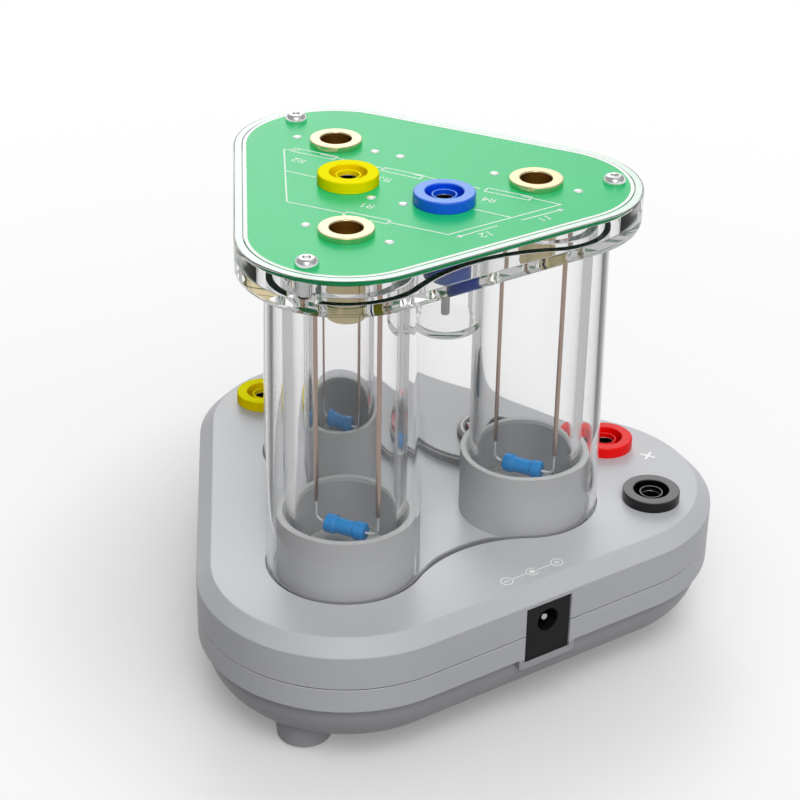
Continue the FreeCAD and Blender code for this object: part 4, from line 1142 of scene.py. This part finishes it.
def makeFloor():
    # a pale floor that keeps the shadow: a soft glow lifts the shadow's core a little, and far from the
    # object sight and gloss meet plain white. Bounced sight goes through the floor to the world
    s = stageSizes
    half, top, bottom = s["floor"] / 2 / mm, -s["gap"] / mm, -s["slab"] / mm
    item = newObject("floor", [boxShape((-half, -half, bottom), (half, half, top))])
    tree = newFinish("floorPale")
    plain, bounced = sightNodes(tree)
    away = addNode(tree, "VectorMath", {"operation": "LENGTH"}, i0=objectPlace(tree)).outputs["Value"]
    far = softRange(tree, away, s["clearStart"], s["clearEnd"], s["least"])
    dim = softRange(tree, away, s["dimStart"], s["dimEnd"], s["dim"], sightLevel["plain"])
    colour = mixColour(tree, plain, [s["bounce"]] * 3, [s["matt"]] * 3)
    matt = addNode(tree, "BsdfDiffuse", None, Color=colour)
    glow = addNode(tree, "Emission", None, Color=(1, 1, 1, 1), Strength=dim)
    gap = addNode(tree, "BsdfTransparent")
    lit = mixShader(tree, mathNode(tree, "MULTIPLY", far, plain), matt, glow)
    showShader(tree, mixShader(tree, bounced, lit, gap))
    item.data.materials.append(finishes["floorPale"])


def makeWorld():
    # soft lights round the sky, each the facing to its direction raised to a power. Sight, gloss and clear
    # plastic meet plain white near the horizon and below; above it gloss meets a dimmer sky with the lights
    # in it, and bounced sight meets the back card, or a set level after many surfaces
    world = bpy.data.worlds.new("studio")
    scene.world = world
    world.use_nodes = True
    tree = world.node_tree
    tree.nodes.clear()
    heading = addNode(tree, "TexCoord").outputs["Generated"]
    light = 0.0
    for turn, height, narrow, strength in skyLights:
        facing = mathNode(tree, "MAXIMUM", facingTo(tree, heading, turn, height), 0.0)
        light = mathNode(tree, "MULTIPLY_ADD", mathNode(tree, "POWER", facing, narrow), strength, light)
    path, (plain, bounced) = lightPath(tree), sightNodes(tree)
    sight, card = sightLevel, backCard
    up = softRange(tree, facingTo(tree, heading, 0, 90), sight["skyStart"], sight["skyEnd"])
    sky = mathNode(tree, "MULTIPLY_ADD", light, sight["skyGain"], sight["sky"])
    above = mathNode(tree, "MULTIPLY", up, path["Is Glossy Ray"])
    seen = mixValue(tree, above, sight["plain"], sky)
    toCard = facingTo(tree, heading, card["turn"], card["height"])
    behind = addNode(tree, "MapRange", None, Value=toCard, From_Min=card["start"], To_Min=card["dark"],
                     To_Max=card["bright"]).outputs[0]
    deep = mathNode(tree, "GREATER_THAN", path["Ray Depth"], sight["deepFrom"])
    behind = mixValue(tree, deep, behind, sight["deep"])
    tube = mathNode(tree, "COMPARE", path["Ray Depth"], sight["tubeDepth"], 0.5)
    behind = mixValue(tree, tube, behind, sight["tube"])
    seen = mixValue(tree, bounced, seen, behind)
    strength = mixValue(tree, plain, light, seen)
    back = addNode(tree, "Background", None, Color=(1, 1, 1, 1), Strength=strength)
    addNode(tree, "OutputWorld", None, Surface=back.outputs[0])


def makeCamera():
    # looking down its own axis after a roll, a tilt up from the ground and a turn about the upright
    c = cameraSizes
    camera = bpy.data.cameras.new("view")
    camera.sensor_width, camera.lens = c["sensor"], c["lens"]
    camera.clip_start, camera.clip_end = c["near"], c["far"]
    item = bpy.data.objects.new("view", camera)
    scene.collection.objects.link(item)
    heading = turnAbout("Z", c["turn"]) @ turnAbout("X", c["tilt"]) @ turnAbout("Z", c["roll"])
    item.matrix_world = Matrix.Translation(c["place"]) @ heading
    scene.camera = item


makeFloor()
makeWorld()
makeCamera()
scene.view_settings.view_transform = "Standard"
scene.cycles.max_bounces = 32
scene.cycles.transmission_bounces = 24
scene.cycles.glossy_bounces = 24
scene.cycles.diffuse_bounces = 4
scene.cycles.transparent_max_bounces = 24
print("stage done")
